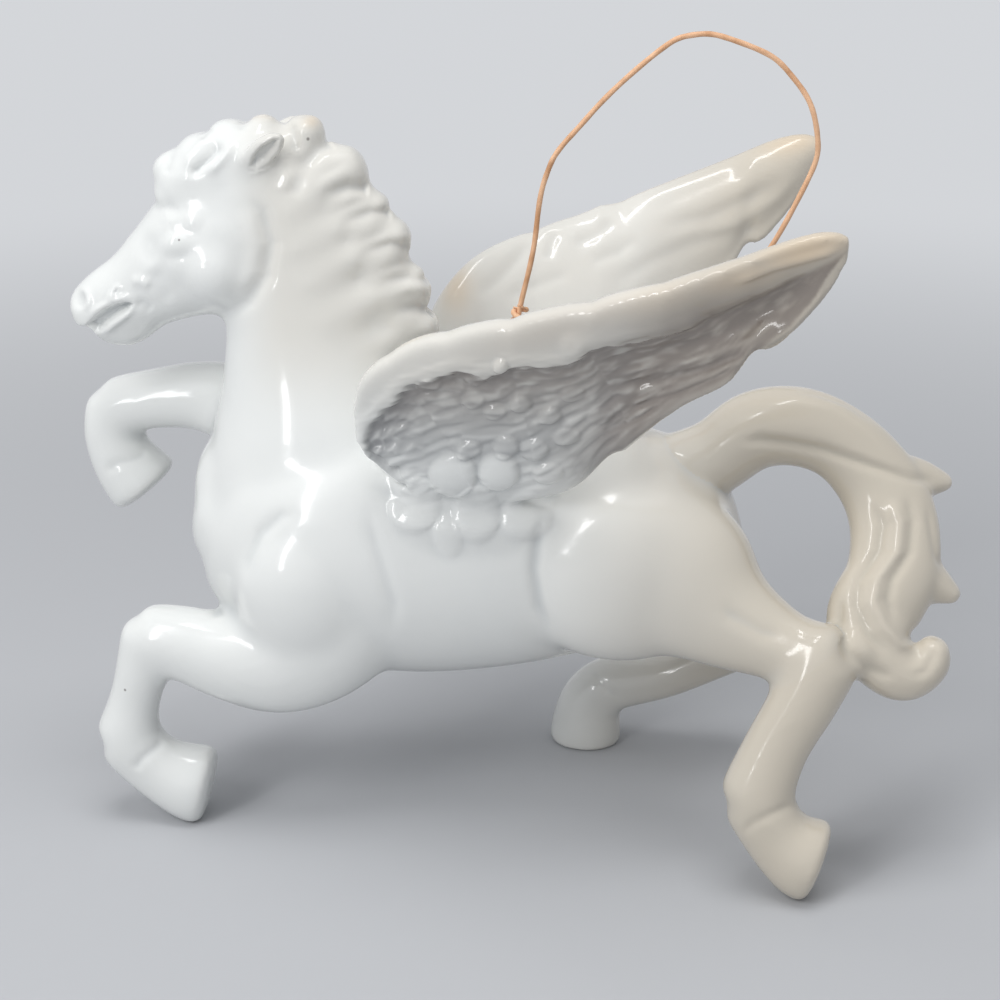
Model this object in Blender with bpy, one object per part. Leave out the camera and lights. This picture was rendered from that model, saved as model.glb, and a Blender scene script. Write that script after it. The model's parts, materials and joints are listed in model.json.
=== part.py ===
"""Prancing winged horse, a glazed porcelain ornament with a bent wire hanger.

The horse faces -X, +Z is up and its left side is towards -Y. Sizes below are in millimetres;
MM turns them into Blender's metres. The figure is built as a potter makes it: the body is one
smooth form that is parted at its mould seams, and the mane, ears, wings and tail are castings
of their own that are luted on. The hanger is one wire whose two eyes run in tunnels under the
spine, so that it swings from side to side between the wings.
"""

import math

import bmesh
import bpy
import numpy as np
from mathutils import Matrix, Vector

MM = 0.001

# Main sizes
HEAD_LENGTH = 34.5
WING_SPAN = 102

# Fits and mesh fineness
SEAM_GAP = 0.3
LOFT_STEP = 2.0
RING_SIDES = 24
DOME_RINGS = 3
WELD = 0.002
BODY_VOXEL = 1.3
TRIM_VOXEL = 0.9
BODY_SMOOTHING_STEPS = 9
TRIM_SMOOTHING_STEPS = 4
BODY_TRIANGLES = 4400
MANE_TRIANGLES = 1150
FORELOCK_TRIANGLES = 560
EAR_TRIANGLES = 50
TAIL_TRIANGLES = 1050
WING_TRIANGLES = 1550

# Stations of the body's lofts: x, y, z of the centre, half depth in the side view, half width
TRUNK = [
    (-61, 0, 69, 12, 11),
    (-54, 0, 67, 23, 18),
    (-40, 0, 65, 30, 23.5),
    (-20, 0, 64.5, 31.5, 25),
    (0, 0, 65, 30, 24),
    (18, 0, 66, 26.5, 22),
    (33, 0, 67.5, 23, 20.5),
    (40.5, 0, 70, 19, 17.5),
    (45.5, 0, 72, 14, 12.5),
]
NECK = [
    (-34, 0, 70, 30, 21),
    (-36, 0, 88, 26, 17.5),
    (-38.5, 0, 102, 20.5, 14),
    (-41, 0, 114, 17, 12),
    (-44.5, 0, 126, 15.5, 10.5),
    (-47, 0, 137, 13, 9.5),
    (-49, 0, 144, 8, 7.5),
]
POLL = -52
SKULL = [
    (POLL, 0, 130, 15, 10.5),
    (POLL - 0.275 * HEAD_LENGTH, 0, 125, 14.5, 10.5),
    (POLL - 0.493 * HEAD_LENGTH, 0, 120.5, 11.5, 9),
    (POLL - 0.696 * HEAD_LENGTH, 0, 116, 9, 7.2),
    (POLL - 0.87 * HEAD_LENGTH, 0, 112.8, 8, 6.6),
    (POLL - HEAD_LENGTH, 0, 110.5, 6.5, 6),
]
CHEEK_CENTRE = (-57.5, 122.5)
CHEEK_RADIUS = 10
CHEEK_HALF_WIDTH = 12.5
CHIN = [
    (POLL - 0.638 * HEAD_LENGTH, 0, 110.5, 4, 4.5),
    (POLL - 0.768 * HEAD_LENGTH, 0, 107.5, 4, 4.6),
    (POLL - 0.87 * HEAD_LENGTH, 0, 106.3, 2.6, 3.6),
]
# Step between the two lips, in front: share of the head's length from the poll, height
LIP_STEP = [
    (1.2, 108.6),
    (1.03, 108.8),
    (0.973, 109.1),
    (0.945, 107.2),
    (0.91, 105.4),
    (0.855, 103.6),
    (0.855, 98),
    (1.2, 98),
]
# Legs: the horse prances, so no two are alike
LEFT_FORELEG = [
    (-32, -11, 56, 20, 13),
    (-38, -13, 45, 15.5, 10.5),
    (-47, -14.5, 39.5, 12.5, 9),
    (-57, -15, 40, 10, 8),
    (-67, -14.5, 42.5, 8.5, 7),
    (-74, -14, 43, 8, 6.6),
]
LEFT_FORE_CANNON = [
    (-73.5, -14, 44, 7, 6.2),
    (-76, -14, 36, 6.2, 5.6),
    (-78.5, -13.7, 28, 5.8, 5.4),
    (-80.5, -13.5, 20, 7.2, 6.4),
]
LEFT_FORE_HOOF = [
    (-81, -13.5, 18.5, 7.2, 6.4),
    (-74.5, -13.2, 12, 7.6, 6.2),
    (-68, -13, 8.6, 9, 7.4),
    (-63.4, -13, 7.4, 9.8, 7.8),
]
RIGHT_FORELEG = [
    (-44, 9, 82, 13, 10),
    (-56, 11, 87, 10, 9),
    (-66, 12, 89.5, 8, 7),
    (-77, 12.5, 88.5, 6.8, 6.4),
    (-86, 13, 86.5, 6.6, 6.2),
]
RIGHT_FORE_HOOF = [
    (-87, 13, 87, 6, 6),
    (-87.5, 13, 80, 6.4, 6.4),
    (-84.5, 13, 73, 7.8, 7.2),
    (-80.3, 13, 67.8, 9, 7.8),
]
LEFT_THIGH = [
    (20, -10, 68, 18, 10),
    (29, -11.5, 63.5, 21, 12.5),
    (40, -14, 60, 18, 12),
    (50, -18.5, 54.5, 11.5, 9),
    (61, -24, 51, 7.6, 6.8),
    (69, -27.5, 50, 7.8, 6.6),
]
LEFT_HIND_CANNON = [
    (68, -27.5, 50, 7.6, 6.6),
    (64.5, -29, 42, 7.2, 6.2),
    (59.3, -30.5, 32, 7, 5.8),
    (55.3, -32, 21, 7.8, 6.6),
]
LEFT_HIND_HOOF = [
    (55.5, -32, 20, 7.4, 6.6),
    (60.5, -33, 12.5, 7.4, 6.4),
    (65, -33.6, 9, 9, 7.6),
    (68.6, -34, 7.8, 9.8, 8),
]
RIGHT_GASKIN = [
    (26, 11.5, 64, 19.5, 12),
    (34, 14.5, 58, 16, 11),
    (43, 20, 48.5, 10.5, 8.5),
    (51, 25.5, 38, 7.4, 6.8),
    (55, 28.5, 31, 6.6, 6.4),
]
RIGHT_HIND_CANNON = [
    (56, 28.5, 30, 6.4, 6.2),
    (47, 29.5, 24.5, 5.8, 5.6),
    (36, 31, 18.3, 5.6, 5.4),
    (23, 32.5, 15, 6.8, 6.4),
]
RIGHT_HIND_HOOF = [
    (23, 32.5, 16, 6.6, 6.4),
    (18.5, 33, 10.5, 7.4, 6.8),
    (17.5, 33, 4.5, 8.4, 7.6),
    (17.3, 33, -0.8, 8.8, 7.8),
]
SHOULDER = (-39, 14.5, 57, 16, 11.5, 19)
HAUNCH = (26, 14, 62.5, 23, 12, 20)
BREAST = (-57, 0, 72, 9, 10, 15)

# Mane: each lock runs from the neck out to its tip on the crest
CREST = [
    (-44, 0, 145, 6, 6),
    (-36.5, 0, 140.5, 7.5, 6.5),
    (-29.5, 0, 129.5, 7.5, 7),
    (-24, 0, 117.5, 7.5, 7.5),
    (-20.5, 0, 106.5, 7, 7.5),
    (-14, 0, 96, 5, 6),
]
MANE_LOCKS = [
    [(-45, 0, 138, 5, 9), (-41, 0, 146, 4.6, 6.4), (-39.3, 0, 150.6, 3.8, 4.6)],
    [(-42, 0, 134.5, 5.6, 10.5), (-34, 0, 140.5, 5.6, 7.4), (-29.6, 0, 143, 4.8, 5)],
    [(-40, 0, 127.5, 4.8, 11.5), (-31, 0, 132, 4.6, 8), (-24.4, 0, 134.6, 3.4, 4.6)],
    [(-38, 0, 120.5, 5, 12.2), (-28, 0, 126, 4.8, 8.4), (-20.4, 0, 128.8, 3.8, 4.8)],
    [(-35, 0, 113, 5.2, 12.8), (-25, 0, 117, 5.4, 9), (-16.6, 0, 118.4, 4.6, 5)],
    [(-33, 0, 104, 5.2, 13.4), (-22, 0, 108.5, 4.8, 9), (-14.8, 0, 110.1, 3.8, 4.8)],
    [(-28, 0, 96, 4.8, 13), (-17, 0, 100, 4.4, 8.4), (-10.4, 0, 101, 3.4, 4.6)],
]
FORELOCK_BED = [
    (-45, 0, 145, 6.4, 7.5),
    (-54, 0, 143.6, 7.6, 8.5),
    (-62, 0, 140, 7, 8.5),
    (-67.2, 0, 136, 4.8, 6.5),
]
FORELOCK_LOCKS = [
    [(-61, 0, 134, 4.8, 9.2), (-65.5, 0, 139.5, 4.8, 7.4), (-67.8, 0, 142.6, 4, 5)],
    [(-57, 0, 136, 4.6, 9.8), (-60.5, 0, 143, 4.4, 7.4), (-62.4, 0, 146.6, 3.6, 4.8)],
    [(-52, 0, 138, 4.6, 9.8), (-54.6, 0, 146, 4.4, 7.4), (-55.8, 0, 149.8, 3.6, 4.8)],
    [(-47, 0, 139, 4.6, 9.4), (-47.8, 0, 147, 4.4, 7), (-48.4, 0, 150.6, 3.6, 4.8)],
]
EAR_CENTRE = (-46, 9.4, 147.4)
EAR_HALF_SIZES = (3, 2.3, 6)
EAR_BACKWARD_TILT = 50
EAR_OUTWARD_TILT = 24
EAR_HOLLOW = 1.3

# Tail
TAIL_STEM = [
    (38, 0, 79, 9, 9),
    (45.5, 0, 83.5, 8, 8.2),
    (53, -0.5, 89.4, 8.3, 8),
    (62, -2, 91, 8.3, 7.6),
    (71, -4, 88, 8, 7),
    (78.3, -7, 81, 8.6, 6.4),
    (81.8, -11, 73, 9.2, 6.2),
    (81.5, -15.5, 64, 9.4, 6.4),
    (77.6, -19.5, 56, 9.3, 6.8),
    (79.5, -22, 49.5, 7, 6.4),
    (84.5, -23, 46.2, 6.2, 5.8),
    (89, -23, 48.5, 4.8, 5),
    (90.2, -23, 52.2, 3.2, 3.8),
]
TAIL_TIPS = [
    [(79.5, -5, 80, 8, 5.5), (86.5, -4.5, 81, 5, 4.4), (92.8, -4, 80.6, 1.8, 2.4)],
    [(82, -12.5, 67, 8, 5.5), (89, -13.5, 62.5, 5, 4.4), (94.6, -14, 59.6, 2, 2.6)],
]
TAIL_BRIDGE = [(80, -19.5, 55, 6.5, 6), (74, -23.5, 51, 6, 6), (70, -26, 49.5, 5, 5)]

# Wings, on the left side: leading edge, trailing edge, thickness at the band, thickness at the edge.
# The edges' y is a share of the way out from the root to the tip.
WING_ROOT = 22
WING_STATIONS = [
    ((-26.5, 0.138, 100), (-26, 0.086, 93), 5, 5),
    ((-23.5, 0.242, 108), (-21.5, 0.035, 84.5), 8, 7),
    ((-14, 0.362, 115.5), (-10, -0.001, 80), 9, 9),
    ((1, 0.552, 121), (5, -0.001, 79.5), 9, 9),
    ((14, 0.69, 125), (18, 0.07, 83), 8.5, 7.5),
    ((27, 0.828, 129.3), (26.5, 0.242, 93), 8, 5),
    ((38, 0.931, 133.3), (36.5, 0.465, 104), 7.4, 3.6),
    ((48, 0.982, 137.3), (47, 0.655, 112), 6.8, 3.2),
    ((57, 1, 141), (57, 0.792, 122), 6, 3),
    ((63, 0.986, 142.2), (63, 0.879, 130), 5, 2.8),
    ((66.4, 0.965, 141.2), (66.4, 0.917, 137), 3, 2.4),
]
RIGHT_WING_FRONT = [
    ((-19.5, -0.001, 99), (-19, -0.034, 92), 5, 5),
    ((-16.5, 0.103, 108.5), (-16, -0.016, 86), 8, 7),
    ((-9.5, 0.258, 117), (-8, -0.016, 81), 9, 9),
    ((1, 0.501, 121.6), (5, -0.001, 79.5), 9, 9),
]
WING_RINGS = 46
WING_CHORD_POINTS = 26
WING_CUP = 2.6
WING_NOTCH_AT = 0.735
WING_NOTCH_WIDTH = 0.022
WING_NOTCH_DEPTH = 3.2
FEATHER_DEPTH = 0.7
FEATHER_ROWS = 6
COVERTS_ALONG = 6
COVERT_ROWS = 3
COVERT_DEPTH = 0.8

# Mould seams of the body: each outline in the side view (x, z) holds one piece, over a range of y
HEAD_SEAM = [
    (-59.5, 107),
    (-50.5, 111),
    (-46.5, 120),
    (-46, 132),
    (-44, 152),
    (POLL - 1.4 * HEAD_LENGTH, 160),
    (POLL - 1.4 * HEAD_LENGTH, 99),
    (-68, 99),
]
HEAD_SPAN = (-30, 30)
NECK_SEAM = [(-70, 101), (-50, 96.5), (-30, 92.5), (-10, 93), (-3, 97), (0, 160), (-70, 160)]
NECK_SPAN = (-30, 30)
LEFT_FORE_SEAM = [(-61, 51.5), (-47, 24), (-47, -5), (-95, -5), (-95, 56), (-66, 54)]
LEFT_FORE_SPAN = (-30, -5.5)
RIGHT_FORE_SEAM = [(-67.5, 77), (-67.5, 101), (-100, 101), (-100, 56), (-74, 56)]
RIGHT_FORE_SPAN = (-2, 28)
LEFT_HIND_SEAM = [(55.5, 42.5), (63, 48.5), (77, 60), (85, 40), (85, -5), (40, -5), (40, 38)]
LEFT_HIND_SPAN = (-50, -8)
RIGHT_HIND_SEAM = [(34, 34), (44, 38.5), (62, 46), (70, 46), (70, -5), (0, -5), (0, 27)]
RIGHT_HIND_SPAN = (12, 50)

# Hanger: one wire, wound on itself above each eye
WIRE_DIAMETER = 1.1
WIRE_ROUNDNESS = 1
EYE_RADIUS = 4.5
EYE_STEPS = 18
EYE_OPEN_ANGLE = 50
TUNNEL_CLEARANCE = 0.45
TWIST_CLEARANCE = 0.15
TWIST_PITCH = 2.0
TWIST_STEPS = 8
FRONT_TWIST_TURNS = 5
REAR_TWIST_TURNS = 2
TWIST_START = 2.6
EYE_PLACES = (1, 29)
EYE_LIFTS = (0.3, 0.4)
BAIL_FINENESS = 3
BAIL = [
    (4, 0, 113),
    (7, 0, 128),
    (9, 0, 141),
    (12.5, 0, 147.5),
    (19, 0, 155),
    (31, 0, 166.5),
    (38, 0, 169.6),
    (45, 0, 169),
    (54, 0, 165),
    (59.5, 0, 159),
    (62.8, 0, 151),
    (61.5, 0, 142),
    (54.5, 0, 128),
    (44, 0, 112),
]

PORCELAIN_WHITE = (0.80, 0.82, 0.80, 1)
PORCELAIN_WARM = (0.80, 0.76, 0.68, 1)
WIRE_PEACH = (0.80, 0.42, 0.24, 1)


def clear_scene():
    for obj in list(bpy.data.objects):
        bpy.data.objects.remove(obj, do_unlink=True)


def finish_material(name, colour, roughness, metallic=0.0):
    material = bpy.data.materials.get(name) or bpy.data.materials.new(name)
    material.use_nodes = True
    shader = material.node_tree.nodes["Principled BSDF"]
    shader.inputs["Base Color"].default_value = colour
    shader.inputs["Roughness"].default_value = roughness
    shader.inputs["Metallic"].default_value = metallic
    return material


def mesh_object(name, bm):
    bmesh.ops.recalc_face_normals(bm, faces=bm.faces)
    mesh = bpy.data.meshes.new(name)
    bm.to_mesh(mesh)
    bm.free()
    obj = bpy.data.objects.new(name, mesh)
    bpy.context.scene.collection.objects.link(obj)
    return obj


def bake_modifiers(obj):
    """Replace the object's mesh by what its modifiers make of it."""
    bpy.context.view_layer.update()
    graph = bpy.context.evaluated_depsgraph_get()
    mesh = bpy.data.meshes.new_from_object(obj.evaluated_get(graph))
    obj.modifiers.clear()
    obj.data = mesh


def copy_of(obj, name):
    twin = bpy.data.objects.new(name, obj.data.copy())
    bpy.context.scene.collection.objects.link(twin)
    return twin


def drop(*objects):
    for obj in objects:
        bpy.data.objects.remove(obj, do_unlink=True)


def curve_through(stations, count):
    """Rows spread evenly by station along a Catmull-Rom curve through the given rows."""
    rows = np.array(stations, float)
    padded = np.vstack([2 * rows[0] - rows[1], rows, 2 * rows[-1] - rows[-2]])
    found = []
    for place in np.linspace(0, len(rows) - 1, count):
        span = min(int(place), len(rows) - 2)
        t = place - span
        before, start, end, after = padded[span : span + 4]
        found.append(
            0.5 * (2 * start + (end - before) * t)
            + 0.5 * (2 * before - 5 * start + 4 * end - after) * t**2
            + 0.5 * (3 * start - before - 3 * end + after) * t**3
        )
    return np.array(found)


def unit(vectors):
    return vectors / np.linalg.norm(vectors, axis=-1, keepdims=True)


def skin_rings(name, rings):
    """A closed solid over rings of points in millimetres, with flat ends."""
    bm = bmesh.new()
    loops = [[bm.verts.new(Vector(p) * MM) for p in ring] for ring in rings]
    for low, high in zip(loops, loops[1:]):
        for k in range(len(low)):
            after = (k + 1) % len(low)
            bm.faces.new((low[k], low[after], high[after], high[k]))
    bm.faces.new(loops[0])
    bm.faces.new(loops[-1])
    bmesh.ops.triangulate(bm, faces=[f for f in bm.faces if len(f.verts) > 4])
    return mesh_object(name, bm)


def loft(name, stations, start_dome=0.5, end_dome=0.5):
    """A limb through elliptical sections square to its path, with domed ends."""
    length = np.linalg.norm(np.diff(np.array(stations)[:, :3], axis=0), axis=1).sum()
    rows = curve_through(stations, max(3, round(length / LOFT_STEP)))
    along = unit(np.gradient(rows[:, :3], axis=0))
    across = np.array([0.0, 1.0, 0.0]) - along * along[:, 1:2]
    across = unit(across)
    up = np.cross(across, along)
    turn = np.linspace(0, 2 * math.pi, RING_SIDES, endpoint=False)

    def ring(row, side, lift, centre, scale):
        return [
            centre + scale * (lift * row[3] * math.cos(a) + side * row[4] * math.sin(a)) for a in turn
        ]

    rings = []
    for step in range(DOME_RINGS, 0, -1):
        angle = step * math.pi / 2 / (DOME_RINGS + 0.5)
        centre = rows[0, :3] - along[0] * start_dome * rows[0, 4] * math.sin(angle)
        rings.append(ring(rows[0], across[0], up[0], centre, math.cos(angle)))
    for row, side, lift in zip(rows, across, up):
        rings.append(ring(row, side, lift, row[:3], 1))
    for step in range(1, DOME_RINGS + 1):
        angle = step * math.pi / 2 / (DOME_RINGS + 0.5)
        centre = rows[-1, :3] + along[-1] * end_dome * rows[-1, 4] * math.sin(angle)
        rings.append(ring(rows[-1], across[-1], up[-1], centre, math.cos(angle)))
    return skin_rings(name, rings)


def ellipsoid(name, centre, half_sizes):
    bm = bmesh.new()
    bmesh.ops.create_icosphere(bm, subdivisions=3, radius=1)
    place = Matrix.Translation(Vector(centre) * MM)
    bmesh.ops.transform(bm, matrix=place @ Matrix.Diagonal([*(Vector(half_sizes) * MM), 1]), verts=bm.verts)
    return mesh_object(name, bm)


def triangle_count(obj):
    obj.data.calc_loop_triangles()
    return len(obj.data.loop_triangles)


def fuse(name, parts, voxel, smoothing, triangles):
    """Fuse overlapping forms into one skin, soften it as glaze does, and thin its mesh."""
    bm = bmesh.new()
    for part in parts:
        bm.from_mesh(part.data)
    drop(*parts)
    whole = mesh_object(name, bm)
    remesh = whole.modifiers.new("Remesh", "REMESH")
    remesh.mode = "VOXEL"
    remesh.voxel_size = voxel * MM
    soften = whole.modifiers.new("Soften", "SMOOTH")
    soften.factor = 0.5
    soften.iterations = smoothing
    bake_modifiers(whole)
    thin(whole, triangles)
    return whole


def keep_main_body(obj):
    """Drop the flecks that a cut or the thinning can leave on or beside the main body."""
    bm = bmesh.new()
    bm.from_mesh(obj.data)
    bmesh.ops.remove_doubles(bm, verts=bm.verts, dist=WELD * MM)
    unseen = set(bm.faces)
    bodies = []
    while unseen:
        body = {unseen.pop()}
        to_visit = list(body)
        while to_visit:
            joined = [edge for edge in to_visit.pop().edges if len(edge.link_faces) == 2]
            near = {face for edge in joined for face in edge.link_faces} & unseen
            unseen -= near
            body |= near
            to_visit.extend(near)
        bodies.append(body)
    main_body = max(bodies, key=len)
    bmesh.ops.delete(bm, geom=[f for f in bm.faces if f not in main_body], context="FACES")
    bm.to_mesh(obj.data)
    bm.free()


def thin(obj, triangles):
    decimate = obj.modifiers.new("Thin", "DECIMATE")
    decimate.ratio = min(1.0, triangles / triangle_count(obj))
    decimate.use_collapse_triangulate = True
    bake_modifiers(obj)
    keep_main_body(obj)


def boolean(obj, cutter, operation):
    modifier = obj.modifiers.new("Cut", "BOOLEAN")
    modifier.object = cutter
    modifier.operation = operation
    modifier.solver = "EXACT"
    bake_modifiers(obj)
    keep_main_body(obj)


def grown(obj, name, distance):
    """A copy with its skin moved out, which cuts a seat with an even gap."""
    twin = copy_of(obj, name)
    displace = twin.modifiers.new("Grow", "DISPLACE")
    displace.mid_level = 0
    displace.strength = distance * MM
    bake_modifiers(twin)
    return twin


def grown_outline(outline, gap):
    """The outline with every side moved out by the gap."""
    points = np.array(outline, float)
    sides = unit(np.roll(points, -1, axis=0) - points)
    area = np.cross(points, np.roll(points, -1, axis=0)).sum()
    outward = np.stack([sides[:, 1], -sides[:, 0]], axis=1) * np.sign(area)
    before = np.roll(outward, 1, axis=0)
    share = 1 + (before * outward).sum(axis=1, keepdims=True)
    return points + gap * (before + outward) / share


def seam_block(outline, span, gap=0.0):
    """The block of space that holds a piece; a gap moves all its sides out."""
    bm = bmesh.new()
    low, high = span[0] - gap, span[1] + gap
    corners = [bm.verts.new(Vector((x, low, z)) * MM) for x, z in grown_outline(outline, gap)]
    face = bm.faces.new(corners)
    depth = bmesh.ops.extrude_face_region(bm, geom=[face])
    moved = [item for item in depth["geom"] if isinstance(item, bmesh.types.BMVert)]
    bmesh.ops.translate(bm, vec=(0, (high - low) * MM, 0), verts=moved)
    return mesh_object("seam_block", bm)


def part_off(body, name, outline, span):
    """Cut a piece off the body at its seam, and leave the gap on the body's side."""
    piece = copy_of(body, name)
    block = seam_block(outline, span)
    boolean(piece, block, "INTERSECT")
    wide_block = seam_block(outline, span, SEAM_GAP)
    boolean(body, wide_block, "DIFFERENCE")
    drop(block, wide_block)
    return piece


def muscle_pair(name, sizes):
    """The same muscle on the left and the right side."""
    x, half_spread, z, *half_sizes = sizes
    return [ellipsoid(name, (x, side * half_spread, z), half_sizes) for side in (-1, 1)]


def build_body_form():
    parts = [
        loft("trunk", TRUNK, 0.45, 0.35),
        loft("neck_form", NECK),
        loft("skull", SKULL, 0.4, 0.6),
        loft("chin", CHIN),
        ellipsoid(
            "cheek", (CHEEK_CENTRE[0], 0, CHEEK_CENTRE[1]), (CHEEK_RADIUS, CHEEK_HALF_WIDTH, CHEEK_RADIUS)
        ),
        *muscle_pair("shoulder", SHOULDER),
        *muscle_pair("haunch", HAUNCH),
        ellipsoid("breast", BREAST[:3], BREAST[3:]),
        loft("fore_l", LEFT_FORELEG),
        loft("fore_cannon_l", LEFT_FORE_CANNON),
        loft("fore_hoof_l", LEFT_FORE_HOOF, 0.5, 0.12),
        loft("fore_r", RIGHT_FORELEG),
        loft("fore_hoof_r", RIGHT_FORE_HOOF, 0.5, 0.12),
        loft("thigh_l", LEFT_THIGH),
        loft("hind_cannon_l", LEFT_HIND_CANNON),
        loft("hind_hoof_l", LEFT_HIND_HOOF, 0.5, 0.12),
        loft("gaskin_r", RIGHT_GASKIN),
        loft("hind_cannon_r", RIGHT_HIND_CANNON),
        loft("hind_hoof_r", RIGHT_HIND_HOOF, 0.5, 0.12),
    ]
    return fuse("torso", parts, BODY_VOXEL, BODY_SMOOTHING_STEPS, BODY_TRIANGLES)


def level_soles(body):
    """Cut the three standing hooves level with the ground."""
    reach = 300
    bm = bmesh.new()
    bmesh.ops.create_cube(bm, size=reach * MM)
    bmesh.ops.translate(bm, vec=(0, 0, -reach / 2 * MM), verts=bm.verts)
    ground = mesh_object("ground_block", bm)
    boolean(body, ground, "DIFFERENCE")
    drop(ground)


def part_lips(body):
    """Cut the step under the muzzle that sets the lower lip back."""
    outline = [(POLL - share * HEAD_LENGTH, height) for share, height in LIP_STEP]
    block = seam_block(outline, HEAD_SPAN)
    boolean(body, block, "DIFFERENCE")
    drop(block)


def wing_relief(along, across, side):
    """Height of the carved feathers: coverts by the root, long ridges towards the tip."""
    ridge = abs(math.sin(math.pi * (across * FEATHER_ROWS + 0.35 * math.sin(5 * along))))
    long_feathers = FEATHER_DEPTH * (ridge - 0.5)
    scales = math.sin(2 * math.pi * (along * COVERTS_ALONG + 0.5 * (int(across * COVERT_ROWS) % 2)))
    coverts = COVERT_DEPTH * scales * abs(math.sin(math.pi * across * COVERT_ROWS))
    share = min(1.0, max(0.0, (along - 0.42) / 0.16))
    fade = min(1.0, max(0.0, (across - 0.2) / 0.1))
    if side == "inner":
        return 0.6 * long_feathers * fade
    return fade * (share * long_feathers + (1 - share) * coverts)


def wing_rings(stations):
    """Cupped sections from the wing's front to its tip, thick at the leading edge."""
    flat = [(*lead, *trail, band, edge) for lead, trail, band, edge in stations]
    rows = curve_through(flat, WING_RINGS)
    rows[:, [1, 4]] = -WING_ROOT - rows[:, [1, 4]] * (WING_SPAN / 2 - WING_ROOT)
    rings = []
    for index, row in enumerate(rows):
        along = index / (WING_RINGS - 1)
        lead, trail, band, edge = row[:3], row[3:6], row[6], row[7]
        chord = trail - lead
        depth = np.linalg.norm(chord)
        notch = WING_NOTCH_DEPTH * math.exp(-(((along - WING_NOTCH_AT) / WING_NOTCH_WIDTH) ** 2))
        chord = chord * (depth - notch) / depth
        outward = unit(np.cross(chord, np.array([1.0, 0.0, 0.0])))
        outward = outward if outward[1] < 0 else -outward
        ring = []
        turns = np.linspace(0, math.pi, WING_CHORD_POINTS)
        for side, angles in (("outer", turns), ("inner", turns[::-1][1:-1])):
            for angle in angles:
                across = 0.5 - 0.5 * math.cos(angle)
                half = 0.5 * (band + (edge - band) * min(1.0, across * 1.6))
                bulge = half * math.sin(angle) ** 0.6
                cup = WING_CUP * math.sin(math.pi * min(1.0, across * 1.15)) * min(1, depth / 25)
                relief = wing_relief(along, across, side) * math.sin(angle) ** 0.5
                sign = 1 if side == "outer" else -1
                ring.append(lead + chord * across + outward * (sign * (bulge + relief) - cup))
        rings.append(ring)
    return rings


def build_wing(name, stations, side):
    rings = [[(p[0], side * p[1], p[2]) for p in ring] for ring in wing_rings(stations)]
    wing = skin_rings(name, rings)
    thin(wing, WING_TRIANGLES)
    return wing


def build_ear(name, side):
    """A leaf with a hollow face, turned back and outwards."""
    ear = ellipsoid(name, (0, 0, 0), EAR_HALF_SIZES)
    hollow = ellipsoid(
        "ear_hollow",
        (0.6, side * EAR_HALF_SIZES[1], 0.4),
        (EAR_HALF_SIZES[0] - EAR_HOLLOW, EAR_HOLLOW, EAR_HALF_SIZES[2] - 2 * EAR_HOLLOW),
    )
    thin(ear, EAR_TRIANGLES)
    thin(hollow, EAR_TRIANGLES)
    boolean(ear, hollow, "DIFFERENCE")
    drop(hollow)
    x, y, z = EAR_CENTRE
    turn = Matrix.Rotation(math.radians(EAR_BACKWARD_TILT), 4, "Y")
    lean = Matrix.Rotation(math.radians(-side * EAR_OUTWARD_TILT), 4, "X")
    ear.data.transform(Matrix.Translation(Vector((x, side * y, z)) * MM) @ lean @ turn)
    return ear


def back_height(x):
    """Height of the trunk's top line at x."""
    rows = curve_through(TRUNK, 200)
    return float(np.interp(x, rows[:, 0], rows[:, 2] + rows[:, 3]))


def swing_axis():
    """The two eye centres, each a little above the back, and the direction between them."""
    front, rear = (
        np.array([x, 0.0, back_height(x) + lift]) for x, lift in zip(EYE_PLACES, EYE_LIFTS)
    )
    return front, rear, unit(rear - front)


def wire_solid(name, points, diameter, closed=False):
    """Round wire through the points, with capped ends or as a closed ring."""
    curve = bpy.data.curves.new(name, "CURVE")
    curve.dimensions = "3D"
    curve.bevel_depth = diameter / 2 * MM
    curve.bevel_resolution = WIRE_ROUNDNESS
    curve.use_fill_caps = not closed
    spline = curve.splines.new("POLY")
    spline.points.add(len(points) - 1)
    for place, point in zip(spline.points, points):
        place.co = (*(Vector(point) * MM), 1)
    spline.use_cyclic_u = closed
    guide = bpy.data.objects.new(name + "_guide", curve)
    bpy.context.scene.collection.objects.link(guide)
    bpy.context.view_layer.update()
    graph = bpy.context.evaluated_depsgraph_get()
    bm = bmesh.new()
    bm.from_mesh(bpy.data.meshes.new_from_object(guide.evaluated_get(graph)))
    bmesh.ops.remove_doubles(bm, verts=bm.verts, dist=WELD * MM)
    drop(guide)
    return mesh_object(name, bm)


def wound_eye(centre, axis, stem_point, turns):
    """Wire from its free end: wound down round the stem, once round the eye, and up the stem."""
    side = np.array([0.0, 1.0, 0.0])
    lift = np.cross(axis, side)
    top = centre + EYE_RADIUS * lift
    stem = unit(stem_point - top)
    outward = unit(axis - stem * (axis @ stem))
    apart = WIRE_DIAMETER + TWIST_CLEARANCE
    points = []
    for k in range(turns * TWIST_STEPS, 0, -1):
        angle = 2 * math.pi * k / TWIST_STEPS
        height = TWIST_START + TWIST_PITCH * (k / TWIST_STEPS - 1)
        around = apart * (outward * math.cos(angle) - side * math.sin(angle))
        points.append(top + stem * max(height, 0.0) + around)
    open_angle = math.radians(EYE_OPEN_ANGLE)
    for k in range(EYE_STEPS + 1):
        angle = 2 * math.pi * k / EYE_STEPS
        if angle > 2 * math.pi - open_angle:
            break
        drift = apart * 0.5 * (1 + math.cos(math.pi * min(1.0, angle / open_angle)))
        ring = centre + EYE_RADIUS * (math.cos(angle) * lift + math.sin(angle) * side)
        points.append(ring + axis * drift)
    points.append(top + stem * TWIST_START)
    return points


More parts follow.
